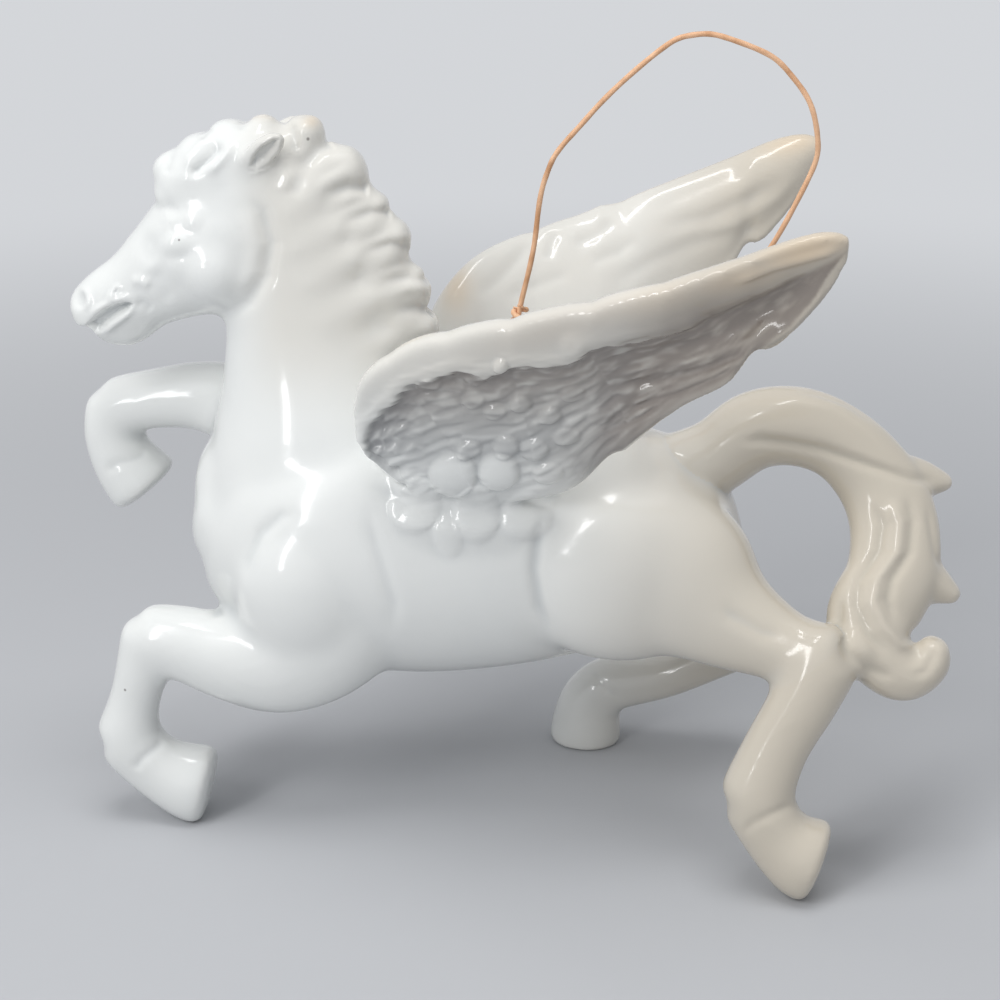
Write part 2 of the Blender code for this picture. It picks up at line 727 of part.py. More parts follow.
def build_hanger():
    """One wire: an eye at each end, the bail between them and its ends wound on themselves."""
    front, rear, axis = swing_axis()
    bail = np.array(BAIL, float)
    front_part = wound_eye(front, axis, bail[0], FRONT_TWIST_TURNS)
    rear_part = wound_eye(rear, axis, bail[-1], REAR_TWIST_TURNS)[::-1]
    arch = curve_through([front_part[-1], *bail, rear_part[0]], BAIL_FINENESS * len(bail))
    points = [*front_part[:-1], *arch, *rear_part[1:]]
    return wire_solid("wire_hanger", points, WIRE_DIAMETER)


def cut_eye_tunnels(torso):
    """The two tunnels under the spine that the wire's eyes run in."""
    front, rear, axis = swing_axis()
    side = np.array([0.0, 1.0, 0.0])
    lift = np.cross(axis, side)
    turn = np.linspace(0, 2 * math.pi, EYE_STEPS, endpoint=False)
    for centre in (front, rear):
        ring = [centre + EYE_RADIUS * (math.cos(a) * lift + math.sin(a) * side) for a in turn]
        tunnel = wire_solid("tunnel", ring, WIRE_DIAMETER + 2 * TUNNEL_CLEARANCE, closed=True)
        boolean(torso, tunnel, "DIFFERENCE")
        drop(tunnel)


def build_figure():
    torso = build_body_form()
    level_soles(torso)
    part_lips(torso)
    seat = grown(torso, "body_seat", SEAM_GAP)
    mane = fuse(
        "mane",
        [loft("crest", CREST)] + [loft("lock", lock) for lock in MANE_LOCKS],
        TRIM_VOXEL,
        TRIM_SMOOTHING_STEPS,
        MANE_TRIANGLES,
    )
    forelock = fuse(
        "forelock",
        [loft("bed", FORELOCK_BED)] + [loft("lock", lock) for lock in FORELOCK_LOCKS],
        TRIM_VOXEL,
        TRIM_SMOOTHING_STEPS,
        FORELOCK_TRIANGLES,
    )
    tail = fuse(
        "tail",
        [loft("stem", TAIL_STEM), loft("bridge", TAIL_BRIDGE)] + [loft("tip", tip) for tip in TAIL_TIPS],
        TRIM_VOXEL,
        TRIM_SMOOTHING_STEPS,
        TAIL_TRIANGLES,
    )
    mane_seat = grown(mane, "mane_seat", SEAM_GAP)
    boolean(forelock, mane_seat, "DIFFERENCE")
    ears = [build_ear("left_ear", -1), build_ear("right_ear", 1)]
    forelock_seat = grown(forelock, "forelock_seat", SEAM_GAP)
    for ear in ears:
        boolean(ear, mane_seat, "DIFFERENCE")
        boolean(ear, forelock_seat, "DIFFERENCE")
    right_stations = RIGHT_WING_FRONT + WING_STATIONS[len(RIGHT_WING_FRONT) :]
    wings = [build_wing("left_wing", WING_STATIONS, 1), build_wing("right_wing", right_stations, -1)]
    for wing in wings:
        boolean(wing, mane_seat, "DIFFERENCE")
    for piece in [mane, forelock, tail, *ears, *wings]:
        boolean(piece, seat, "DIFFERENCE")
    drop(mane_seat, forelock_seat, seat)
    cut_eye_tunnels(torso)
    head = part_off(torso, "head", HEAD_SEAM, HEAD_SPAN)
    neck = part_off(torso, "neck", NECK_SEAM, NECK_SPAN)
    left_foreleg = part_off(torso, "left_foreleg", LEFT_FORE_SEAM, LEFT_FORE_SPAN)
    right_foreleg = part_off(torso, "right_foreleg", RIGHT_FORE_SEAM, RIGHT_FORE_SPAN)
    left_hind_leg = part_off(torso, "left_hind_leg", LEFT_HIND_SEAM, LEFT_HIND_SPAN)
    right_hind_leg = part_off(torso, "right_hind_leg", RIGHT_HIND_SEAM, RIGHT_HIND_SPAN)
    legs = [left_foreleg, right_foreleg, left_hind_leg, right_hind_leg]
    return [torso, neck, head, mane, forelock, *ears, *wings, *legs, tail]


def stand_on_origin(objects):
    """Parent everything to an empty, set so that the model stands centred over the origin."""
    corners = np.array([v.co for obj in objects for v in obj.data.vertices])
    low, high = corners.min(axis=0), corners.max(axis=0)
    stand = bpy.data.objects.new("stand", None)
    bpy.context.scene.collection.objects.link(stand)
    stand.location = (-(low[0] + high[0]) / 2, -(low[1] + high[1]) / 2, -low[2])
    for obj in objects:
        obj.parent = stand
    return stand


def main():
    clear_scene()
    figure = build_figure()
    hanger = build_hanger()
    front, rear, axis = swing_axis()
    pivot = Vector(front) * MM
    hanger.data.transform(Matrix.Translation(-pivot))
    stand = stand_on_origin(figure)
    hanger.parent = stand
    hanger.location = pivot
    glaze = finish_material("glazed_porcelain", PORCELAIN_WHITE, 0.08)
    warm_glaze = finish_material("warm_glaze", PORCELAIN_WARM, 0.1)
    coated_wire = finish_material("coated_wire", WIRE_PEACH, 0.4)
    for obj in figure:
        obj.data.materials.clear()
        obj.data.materials.append(warm_glaze if obj.name in ("tail", "left_hind_leg") else glaze)
        obj.data.shade_smooth()
    hanger.data.materials.clear()
    hanger.data.materials.append(coated_wire)
    hanger.data.shade_smooth()
    bpy.context.view_layer.update()
    start = hanger.matrix_world.translation
    end = stand.matrix_world @ (Vector(rear) * MM)
    print("swing axis from", [round(v, 5) for v in start], "to", [round(v, 5) for v in end])
    for obj in [*figure, hanger]:
        print(obj.name, triangle_count(obj), "triangles")


main()
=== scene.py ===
# %% [markdown]
# # A prancing winged horse in glazed porcelain
#
# The real thing is a small slip-cast ornament, about 190 mm long, that hangs from a thin coated
# wire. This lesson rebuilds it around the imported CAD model: the same named sizes, but with a
# finer skin, carved hair and feathers, and a thick glossy glaze.

# %% Load the frame
import json
import math

import bmesh
import bpy
import numpy as np
from mathutils import Matrix, Vector, noise
from mathutils.bvhtree import BVHTree

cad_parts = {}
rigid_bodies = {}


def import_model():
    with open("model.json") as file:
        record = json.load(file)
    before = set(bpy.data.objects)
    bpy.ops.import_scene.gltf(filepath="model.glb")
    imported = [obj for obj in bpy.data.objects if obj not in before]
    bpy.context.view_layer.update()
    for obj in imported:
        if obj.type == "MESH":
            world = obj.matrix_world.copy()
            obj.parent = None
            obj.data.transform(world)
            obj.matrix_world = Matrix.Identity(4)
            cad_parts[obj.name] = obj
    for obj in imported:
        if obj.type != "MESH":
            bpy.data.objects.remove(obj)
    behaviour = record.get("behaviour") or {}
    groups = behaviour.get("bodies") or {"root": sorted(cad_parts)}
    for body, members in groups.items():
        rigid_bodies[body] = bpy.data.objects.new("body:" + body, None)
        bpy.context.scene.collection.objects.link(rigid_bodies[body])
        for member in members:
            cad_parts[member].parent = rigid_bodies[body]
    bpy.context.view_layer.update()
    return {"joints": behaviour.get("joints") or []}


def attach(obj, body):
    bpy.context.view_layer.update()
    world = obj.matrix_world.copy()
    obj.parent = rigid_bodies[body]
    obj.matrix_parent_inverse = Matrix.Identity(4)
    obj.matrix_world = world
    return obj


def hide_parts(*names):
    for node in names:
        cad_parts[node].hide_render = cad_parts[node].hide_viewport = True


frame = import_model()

MM = 0.001

# %% [markdown]
# ## The view
#
# The photograph was taken from the horse's left, a little above it. The carved lines further on
# are drawn on that view, as a carver marks a model from one side, so the camera is settled first.
# `seen` gives the place in a 1000 x 1000 picture of any point in millimetres.

# %% Camera place and the picture's coordinates
PICTURE = 1000
AZIMUTH = 5.5
ELEVATION = 20
DISTANCE = 430
FOCAL = 4.7 * DISTANCE
STAND = np.array((-0.996, -0.003, 0.0))
AIM = np.array((0, 0, 72)) + STAND

turn, rise = math.radians(AZIMUTH), math.radians(ELEVATION)
FORWARD = np.array((-math.sin(turn) * math.cos(rise), math.cos(turn) * math.cos(rise), -math.sin(rise)))
RIGHT = np.array((math.cos(turn), math.sin(turn), 0.0))
UP = np.array((-math.sin(turn) * math.sin(rise), math.cos(turn) * math.sin(rise), math.cos(rise)))
EYE = AIM - DISTANCE * FORWARD


def seen(points):
    """Picture coordinates, in pixels, of points in millimetres."""
    away = np.asarray(points) - EYE
    depth = away @ FORWARD
    across = PICTURE / 2 + FOCAL * (away @ RIGHT) / depth
    down = PICTURE / 2 - FOCAL * (away @ UP) / depth
    return np.stack([across, down], axis=1)


print("the nose of the horse is seen at", seen([(-87, 0, 112)]).round())

# %% [markdown]
# ## Limbs from stations
#
# A potter builds up a horse from rolls of clay. Each roll here is a row of stations: the middle
# (x, y, z), the half depth seen from the side and the half width, all in millimetres. A smooth
# curve runs through the stations, and a closed tube is lofted over it. Spheres and cylinders
# would leave joints that no later smoothing hides, so every limb is a loft.

# %% Curves and lofted rolls
RING_SIDES = 40
DOME_RINGS = 5


def unit(vectors):
    return vectors / np.linalg.norm(vectors, axis=-1, keepdims=True)


def curve_through(stations, count):
    """Rows spread evenly along a Catmull-Rom curve through the given rows."""
    rows = np.array(stations, float)
    padded = np.vstack([2 * rows[0] - rows[1], rows, 2 * rows[-1] - rows[-2]])
    found = []
    for place in np.linspace(0, len(rows) - 1, count):
        span = min(int(place), len(rows) - 2)
        t = place - span
        before, start, end, after = padded[span : span + 4]
        found.append(
            0.5 * (2 * start + (end - before) * t)
            + 0.5 * (2 * before - 5 * start + 4 * end - after) * t**2
            + 0.5 * (3 * start - before - 3 * end + after) * t**3
        )
    return np.array(found)


def skin_over(rings):
    """Points and faces of a closed skin over rings of points."""
    count, sides = len(rings), len(rings[0])
    faces = []
    for low in range(count - 1):
        for k in range(sides):
            after = (k + 1) % sides
            faces.append(
                (low * sides + k, low * sides + after, (low + 1) * sides + after, (low + 1) * sides + k)
            )
    faces.append(tuple(range(sides))[::-1])
    faces.append(tuple(range((count - 1) * sides, count * sides)))
    return np.concatenate(rings), faces


def roll(stations, start_dome=0.5, end_dome=0.5):
    """A limb through elliptical sections square to its path, with domed ends."""
    length = np.linalg.norm(np.diff(np.array(stations)[:, :3], axis=0), axis=1).sum()
    rows = curve_through(stations, max(5, round(length)))
    along = unit(np.gradient(rows[:, :3], axis=0))
    side = unit(np.array([0.0, 1.0, 0.0]) - along * along[:, 1:2])
    lift = np.cross(side, along)
    angles = np.linspace(0, 2 * math.pi, RING_SIDES, endpoint=False)

    def ring(row, shift, scale):
        lifted = np.outer(np.cos(angles), lift[row]) * rows[row, 3]
        sideways = np.outer(np.sin(angles), side[row]) * rows[row, 4]
        return rows[row, :3] + along[row] * shift + scale * (lifted + sideways)

    domes = [step * math.pi / 2 / (DOME_RINGS + 0.5) for step in range(1, DOME_RINGS + 1)]
    rings = [ring(0, -start_dome * rows[0, 4] * math.sin(a), math.cos(a)) for a in domes[::-1]]
    rings += [ring(row, 0, 1) for row in range(len(rows))]
    rings += [ring(-1, end_dome * rows[-1, 4] * math.sin(a), math.cos(a)) for a in domes]
    return skin_over(rings)


def ball(centre, half_sizes):
    """A clay ball, pressed to an ellipsoid, as a stack of rings."""
    rings = []
    for level in np.linspace(-0.5, 0.5, 26)[1:-1] * math.pi:
        angles = np.linspace(0, 2 * math.pi, RING_SIDES, endpoint=False)
        ring = np.stack(
            [
                np.cos(angles) * math.cos(level),
                np.sin(angles) * math.cos(level),
                np.full(RING_SIDES, math.sin(level)),
            ],
            axis=1,
        )
        rings.append(np.array(centre) + ring * np.array(half_sizes))
    return skin_over(rings)


# %% [markdown]
# ## The horse's body
#
# Trunk, neck, skull, chin, cheeks and four bent legs, at the sizes of the CAD model. Only the
# left foreleg, the left hind leg and the right hind leg reach the ground.

# %% Stations of the body
HEAD_LENGTH = 34.5
POLL = -52
TRUNK = [
    (-61, 0, 69, 12, 11),
    (-54, 0, 67, 23, 18),
    (-40, 0, 65, 30, 23.5),
    (-20, 0, 64.5, 31.5, 25),
    (0, 0, 65, 30, 24),
    (18, 0, 66, 26.5, 22),
    (33, 0, 67.5, 23, 20.5),
    (40.5, 0, 70, 19, 17.5),
    (45.5, 0, 72, 14, 12.5),
]
NECK = [
    (-34, 0, 70, 30, 21),
    (-36, 0, 88, 26, 17.5),
    (-38.5, 0, 102, 20.5, 14),
    (-41, 0, 114, 17, 12),
    (-44.5, 0, 126, 15.5, 10.5),
    (-47, 0, 137, 13, 9.5),
    (-49, 0, 144, 8, 7.5),
]
SKULL = [
    (POLL, 0, 130, 15, 10.5),
    (POLL - 0.275 * HEAD_LENGTH, 0, 125, 14.5, 10.5),
    (POLL - 0.493 * HEAD_LENGTH, 0, 120.5, 11.5, 9),
    (POLL - 0.696 * HEAD_LENGTH, 0, 116, 9, 7.2),
    (POLL - 0.87 * HEAD_LENGTH, 0, 112.8, 8, 6.6),
    (POLL - HEAD_LENGTH, 0, 110.5, 6.5, 6),
]
LIP_STEP = [
    (1.2, 108.6),
    (1.03, 108.8),
    (0.973, 109.1),
    (0.945, 107.2),
    (0.91, 105.4),
    (0.855, 103.6),
    (0.855, 98),
    (1.2, 98),
]
CHIN = [
    (POLL - 0.638 * HEAD_LENGTH, 0, 110.5, 4, 4.5),
    (POLL - 0.768 * HEAD_LENGTH, 0, 107.5, 4, 4.6),
    (POLL - 0.87 * HEAD_LENGTH, 0, 106.3, 2.6, 3.6),
]
LEFT_FORELEG = [
    (-32, -11, 56, 20, 13),
    (-38, -13, 45, 15.5, 10.5),
    (-47, -14.5, 39.5, 12.5, 9),
    (-57, -15, 40, 10, 8),
    (-67, -14.5, 42.5, 8.5, 7),
    (-74, -14, 43, 8, 6.6),
]
LEFT_FORE_CANNON = [
    (-73.5, -14, 44, 7, 6.2),
    (-76, -14, 36, 6.2, 5.6),
    (-78.5, -13.7, 28, 5.8, 5.4),
    (-80.5, -13.5, 20, 7.2, 6.4),
]
LEFT_FORE_HOOF = [
    (-81, -13.5, 18.5, 7.2, 6.4),
    (-74.5, -13.2, 12, 7.6, 6.2),
    (-68, -13, 8.6, 9, 7.4),
    (-63.4, -13, 7.4, 9.8, 7.8),
]
RIGHT_FORELEG = [
    (-44, 9, 82, 13, 10),
    (-56, 11, 87, 10, 9),
    (-66, 12, 89.5, 8, 7),
    (-77, 12.5, 88.5, 6.8, 6.4),
    (-86, 13, 86.5, 6.6, 6.2),
]
RIGHT_FORE_HOOF = [
    (-87, 13, 87, 6, 6),
    (-87.5, 13, 80, 6.4, 6.4),
    (-84.5, 13, 73, 7.8, 7.2),
    (-80.3, 13, 67.8, 9, 7.8),
]
LEFT_THIGH = [
    (20, -10, 68, 18, 10),
    (29, -11.5, 63.5, 21, 12.5),
    (40, -14, 60, 18, 12),
    (50, -18.5, 54.5, 11.5, 9),
    (61, -24, 51, 7.6, 6.8),
    (69, -27.5, 50, 7.8, 6.6),
]
LEFT_HIND_CANNON = [
    (68, -27.5, 50, 7.6, 6.6),
    (64.5, -29, 42, 7.2, 6.2),
    (59.3, -30.5, 32, 7, 5.8),
    (55.3, -32, 21, 7.8, 6.6),
]
LEFT_HIND_HOOF = [
    (55.5, -32, 20, 7.4, 6.6),
    (60.5, -33, 12.5, 7.4, 6.4),
    (65, -33.6, 9, 9, 7.6),
    (68.6, -34, 7.8, 9.8, 8),
]
RIGHT_GASKIN = [
    (26, 11.5, 64, 19.5, 12),
    (34, 14.5, 58, 16, 11),
    (43, 20, 48.5, 10.5, 8.5),
    (51, 25.5, 38, 7.4, 6.8),
    (55, 28.5, 31, 6.6, 6.4),
]
RIGHT_HIND_CANNON = [
    (56, 28.5, 30, 6.4, 6.2),
    (47, 29.5, 24.5, 5.8, 5.6),
    (36, 31, 18.3, 5.6, 5.4),
    (23, 32.5, 15, 6.8, 6.4),
]
RIGHT_HIND_HOOF = [
    (23, 32.5, 16, 6.6, 6.4),
    (18.5, 33, 10.5, 7.4, 6.8),
    (17.5, 33, 4.5, 8.4, 7.6),
    (17.3, 33, -0.8, 8.8, 7.8),
]

SHOULDER = (-39, 14.5, 57, 16, 11.5, 19)
HAUNCH = (26, 14, 62.5, 23, 12, 20)


def muscle_pair(sizes):
    """The same muscle on the left and the right side."""
    x, half_spread, z, *half_sizes = sizes
    return [ball((x, side * half_spread, z), half_sizes) for side in (-1, 1)]


body_rolls = [
    roll(TRUNK, 0.45, 0.35),
    roll(NECK),
    roll(SKULL, 0.4, 0.6),
    roll(CHIN),
    ball((-57.5, 0, 122.5), (10, 12.5, 10)),
    *muscle_pair(SHOULDER),
    *muscle_pair(HAUNCH),
    ball((-57, 0, 72), (9, 10, 15)),
    roll(LEFT_FORELEG),
    roll(LEFT_FORE_CANNON),
    roll(LEFT_FORE_HOOF, 0.5, 0.12),
    roll(RIGHT_FORELEG),
    roll(RIGHT_FORE_HOOF, 0.5, 0.12),
    roll(LEFT_THIGH),
    roll(LEFT_HIND_CANNON),
    roll(LEFT_HIND_HOOF, 0.5, 0.12),
    roll(RIGHT_GASKIN),
    roll(RIGHT_HIND_CANNON),
    roll(RIGHT_HIND_HOOF, 0.5, 0.12),
]
print("rolls of the body:", len(body_rolls))

# %% [markdown]
# ## Hair
#
# The mane is a crest with seven locks, the forelock a bed with four short ones, and the tail an
# arched stem with two pointed tufts and a curled end that runs into the left hock.

# %% Stations of the mane, the forelock and the tail
CREST = [
    (-44, 0, 145, 6, 6),
    (-36.5, 0, 140.5, 7.5, 6.5),
    (-29.5, 0, 129.5, 7.5, 7),
    (-24, 0, 117.5, 7.5, 7.5),
    (-20.5, 0, 106.5, 7, 7.5),
    (-14, 0, 96, 5, 6),
]
MANE_LOCKS = [
    [(-45, 0, 138, 5, 9), (-41, 0, 146, 4.6, 6.4), (-39.3, 0, 150.6, 3.8, 4.6)],
    [(-42, 0, 134.5, 5.6, 10.5), (-34, 0, 140.5, 5.6, 7.4), (-29.6, 0, 143, 4.8, 5)],
    [(-40, 0, 127.5, 4.8, 11.5), (-31, 0, 132, 4.6, 8), (-24.4, 0, 134.6, 3.4, 4.6)],
    [(-38, 0, 120.5, 5, 12.2), (-28, 0, 126, 4.8, 8.4), (-20.4, 0, 128.8, 3.8, 4.8)],
    [(-35, 0, 113, 5.2, 12.8), (-25, 0, 117, 5.4, 9), (-16.6, 0, 118.4, 4.6, 5)],
    [(-33, 0, 104, 5.2, 13.4), (-22, 0, 108.5, 4.8, 9), (-14.8, 0, 110.1, 3.8, 4.8)],
    [(-28, 0, 96, 4.8, 13), (-17, 0, 100, 4.4, 8.4), (-10.4, 0, 101, 3.4, 4.6)],
]
FORELOCK_BED = [
    (-45, 0, 145, 6.4, 7.5),
    (-54, 0, 143.6, 7.6, 8.5),
    (-62, 0, 140, 7, 8.5),
    (-67.2, 0, 136, 4.8, 6.5),
]
FORELOCK_LOCKS = [
    [(-61, 0, 134, 4.8, 9.2), (-65.5, 0, 139.5, 4.8, 7.4), (-67.8, 0, 142.6, 4, 5)],
    [(-57, 0, 136, 4.6, 9.8), (-60.5, 0, 143, 4.4, 7.4), (-62.4, 0, 146.6, 3.6, 4.8)],
    [(-52, 0, 138, 4.6, 9.8), (-54.6, 0, 146, 4.4, 7.4), (-55.8, 0, 149.8, 3.6, 4.8)],
    [(-47, 0, 139, 4.6, 9.4), (-47.8, 0, 147, 4.4, 7), (-48.4, 0, 150.6, 3.6, 4.8)],
]
TAIL_STEM = [
    (38, 0, 79, 9, 9),
    (45.5, 0, 83.5, 8, 8.2),
    (53, -0.5, 89.4, 8.3, 8),
    (62, -2, 91, 8.3, 7.6),
    (71, -4, 88, 8, 7),
    (78.3, -7, 81, 8.6, 6.4),
    (81.8, -11, 73, 9.2, 6.2),
    (81.5, -15.5, 64, 9.4, 6.4),
    (77.6, -19.5, 56, 9.3, 6.8),
    (79.5, -22, 49.5, 7, 6.4),
    (84.5, -23, 46.2, 6.2, 5.8),
    (89, -23, 48.5, 4.8, 5),
    (90.2, -23, 52.2, 3.2, 3.8),
]
TAIL_TIPS = [
    [(79.5, -5, 80, 8, 5.5), (86.5, -4.5, 81, 5, 4.4), (92.8, -4, 80.6, 1.8, 2.4)],
    [(82, -12.5, 67, 8, 5.5), (89, -13.5, 62.5, 5, 4.4), (94.6, -14, 59.6, 2, 2.6)],
]
TAIL_BRIDGE = [(80, -19.5, 55, 6.5, 6), (74, -23.5, 51, 6, 6), (70, -26, 49.5, 5, 5)]

mane_rolls = [roll(CREST)] + [roll(lock) for lock in MANE_LOCKS]
forelock_rolls = [roll(FORELOCK_BED)] + [roll(lock) for lock in FORELOCK_LOCKS]
tail_rolls = [roll(TAIL_STEM), roll(TAIL_BRIDGE)] + [roll(tip) for tip in TAIL_TIPS]
print("rolls of hair:", len(mane_rolls) + len(forelock_rolls) + len(tail_rolls))

# %% [markdown]
# ## Ears and wings
#
# An ear is a small hollow leaf. A wing is a cupped sheet, thick and rounded at the leading edge
# and thin behind, with one notch in its trailing edge. It is built from sections across the
# wing, which gives the cup and the taper directly.

# %% Ears and wing blanks
EAR_CENTRE = (-46, 9.4, 147.4)
EAR_HALF_SIZES = (3, 2.3, 6)
EAR_BACKWARD_TILT = 50
EAR_OUTWARD_TILT = 24
EAR_HOLLOW = 1.5
WING_SPAN = 102
WING_ROOT = 22
WING_STATIONS = [
    ((-26.5, 0.138, 100), (-26, 0.086, 93), 5, 5),
    ((-23.5, 0.242, 108), (-21.5, 0.035, 84.5), 8, 7),
    ((-14, 0.362, 115.5), (-10, -0.001, 80), 9, 9),
    ((1, 0.552, 121), (5, -0.001, 79.5), 9, 9),
    ((14, 0.69, 125), (18, 0.07, 83), 8.5, 7.5),
    ((27, 0.828, 129.3), (26.5, 0.242, 93), 8, 5),
    ((38, 0.931, 133.3), (36.5, 0.465, 104), 7.4, 3.6),
    ((48, 0.982, 137.3), (47, 0.655, 112), 6.8, 3.2),
    ((57, 1, 141), (57, 0.792, 122), 6, 3),
    ((63, 0.986, 142.2), (63, 0.879, 130), 5, 2.8),
    ((66.4, 0.965, 141.2), (66.4, 0.917, 137), 3, 2.4),
]
RIGHT_WING_FRONT = [
    ((-19.5, -0.001, 99), (-19, -0.034, 92), 5, 5),
    ((-16.5, 0.103, 108.5), (-16, -0.016, 86), 8, 7),
    ((-9.5, 0.258, 117), (-8, -0.016, 81), 9, 9),
    ((1, 0.501, 121.6), (5, -0.001, 79.5), 9, 9),
]
WING_RINGS = 180
WING_CHORD_POINTS = 60
WING_CUP = 2.6
WING_NOTCH_AT = 0.735
WING_NOTCH_WIDTH = 0.022
WING_NOTCH_DEPTH = 3.2
LEFT_TOP_DIPS = ((-18.5, 0.6), (-6.9, 0.8), (5.8, 1.0), (20.7, 1.0), (34, 0.5))
RIGHT_TOP_DIPS = ((3.9, 0.9), (18, -0.6), (22.8, 0.7))
DIP_WIDTH = 2.2


def ear(side):
    points, faces = ball((0, 0, 0), EAR_HALF_SIZES)
    dent = np.exp(-((points[:, 0] - 0.6) ** 2) / 2 - ((points[:, 2] - 0.4) ** 2) / 9)
    points[:, 1] -= side * EAR_HOLLOW * dent * (side * points[:, 1] > 0)
    lean = Matrix.Rotation(math.radians(-side * EAR_OUTWARD_TILT), 3, "X")
    tilt = Matrix.Rotation(math.radians(EAR_BACKWARD_TILT), 3, "Y")
    x, y, z = EAR_CENTRE
    return points @ np.array(lean @ tilt).T + np.array((x, side * y, z)), faces


def wing(stations, side, dips):
    """Cupped sections from the wing's front to its tip, with small dips in the leading edge."""
    rows = curve_through([(*lead, *trail, band, edge) for lead, trail, band, edge in stations], WING_RINGS)
    rows[:, [1, 4]] = -WING_ROOT - rows[:, [1, 4]] * (WING_SPAN / 2 - WING_ROOT)
    for x, depth in dips:
        rows[:, 2] -= depth * np.exp(-np.abs(rows[:, 0] - x) / DIP_WIDTH)
    turns = np.linspace(0, math.pi, WING_CHORD_POINTS)
    angles = np.concatenate([turns, turns[::-1][1:-1]])
    face = np.where(np.arange(len(angles)) < WING_CHORD_POINTS, 1, -1)
    rings = []
    for index, row in enumerate(rows):
        along = index / (WING_RINGS - 1)
        lead, trail, band, edge = row[:3], row[3:6], row[6], row[7]
        chord = trail - lead
        depth = np.linalg.norm(chord)
        notch = WING_NOTCH_DEPTH * math.exp(-(((along - WING_NOTCH_AT) / WING_NOTCH_WIDTH) ** 2))
        chord = chord * (depth - notch) / depth
        outward = unit(np.cross(chord, np.array([1.0, 0.0, 0.0])))
        outward = outward if outward[1] < 0 else -outward
        across = 0.5 - 0.5 * np.cos(angles)
        half = 0.5 * (band + (edge - band) * np.minimum(1, across * 1.6))
        bulge = face * half * np.sin(angles).clip(0) ** 0.6
        cup = WING_CUP * np.sin(math.pi * np.minimum(1, across * 1.15)) * min(1, depth / 25)
        ring = lead + np.outer(across, chord) + np.outer(bulge - cup, outward)
        rings.append(ring * (1, side, 1))
    points, faces = skin_over(rings)
    return points, faces if side > 0 else [corners[::-1] for corners in faces]


left_wing_blank = wing(WING_STATIONS, 1, LEFT_TOP_DIPS)
right_stations = RIGHT_WING_FRONT + WING_STATIONS[len(RIGHT_WING_FRONT) :]
right_wing_blank = wing(right_stations, -1, RIGHT_TOP_DIPS)
blank_x = left_wing_blank[0][:, 0]
print("wing blank from x", blank_x.min().round(1), "to", blank_x.max().round(1))

# %% [markdown]
# ## One skin under one glaze
#
# Slip-cast parts are luted together with wet slip and fettled, so no joint is left sharp. A voxel
# remesh fuses overlapping closed forms into one skin, and some smoothing gives it the soft
# fillets of the clay. Joining meshes by hand would take days and leave creases.

# %% Fusing and smoothing helpers
BODY_VOXEL = 0.8
BODY_SMOOTHING_STEPS = 24
TRIM_VOXEL = 0.6
TRIM_SMOOTHING_STEPS = 6
SKIN_VOXEL = 0.55
SKIN_SMOOTHING_STEPS = 5
FINE_SMOOTHING_STEPS = 3


def mesh_object(name, points, faces):
    """A mesh object from points in the model's millimetres."""
    mesh = bpy.data.meshes.new(name)
    mesh.from_pydata((np.asarray(points) * MM).tolist(), [], [tuple(f) for f in faces])
    obj = bpy.data.objects.new(name, mesh)
    bpy.context.scene.collection.objects.link(obj)
    return obj


def joined(parts):
    points, faces, start = [], [], 0
    for part_points, part_faces in parts:
        points.append(part_points)
        faces += [tuple(corner + start for corner in corners) for corners in part_faces]
        start += len(part_points)
    return np.concatenate(points), faces


def read_all(items, attribute, kind=np.int64, width=1):
    """One attribute of everything in a Blender collection, as an array."""
    values = np.empty(len(items) * width, kind)
    items.foreach_get(attribute, values)
    return values.reshape(-1, width) if width > 1 else values


def points_of(mesh):
    """The points of a mesh, in millimetres."""
    return read_all(mesh.vertices, "co", float, 3) / MM


def evaluated_mesh(obj):
    bpy.context.view_layer.update()
    graph = bpy.context.evaluated_depsgraph_get()
    return bpy.data.meshes.new_from_object(obj.evaluated_get(graph))


def fuse(parts, voxel):
    """Points and quads of one skin over overlapping closed parts."""
    whole = mesh_object("clay", *joined(parts))
    remesh = whole.modifiers.new("Fuse", "REMESH")
    remesh.mode = "VOXEL"
    remesh.voxel_size = voxel * MM
    mesh = evaluated_mesh(whole)
    bpy.data.objects.remove(whole)
    return points_of(mesh), read_all(mesh.loops, "vertex_index").reshape(-1, 4)


def neighbour_pairs(quads):
    ends = np.concatenate([quads[:, [0, 1]], quads[:, [1, 2]], quads[:, [2, 3]], quads[:, [3, 0]]])
    ends.sort(axis=1)
    return np.unique(ends, axis=0)


def soften(points, pairs, steps, share=1.0):
    """Each step moves a point half way to the middle of its neighbours, by its share."""
    count, width = points.shape
    start, end = np.concatenate([pairs, pairs[:, ::-1]]).T
    near = np.bincount(start, minlength=count)[:, None].clip(1)
    share = np.reshape(share, (-1, 1)) if np.ndim(share) else share
    for _ in range(steps):
        total = np.stack([np.bincount(start, points[end, k], count) for k in range(width)], axis=1)
        points = points + 0.5 * share * (total / near - points)
    return points


def soften_zone(points, pairs, steps, share):
    """As soften, but works only on the points that have a share, which is much quicker."""
    wanted = (share[pairs] > 0).any(axis=1)
    used, local = np.unique(pairs[wanted], return_inverse=True)
    points = points.copy()
    points[used] = soften(points[used], local.reshape(-1, 2), steps, share[used])
    return points


def normals_of(points, quads):
    a, b, c, d = (points[quads[:, k]] for k in range(4))
    facing = np.cross(c - a, d - b)
    total = np.zeros_like(points)
    for k in range(4):
        for axis in range(3):
            total[:, axis] += np.bincount(quads[:, k], facing[:, axis], len(points))
    return unit(total + 1e-12)


def moulded(parts, voxel, steps):
    points, quads = fuse(parts, voxel)
    return soften(points, neighbour_pairs(quads), steps), quads


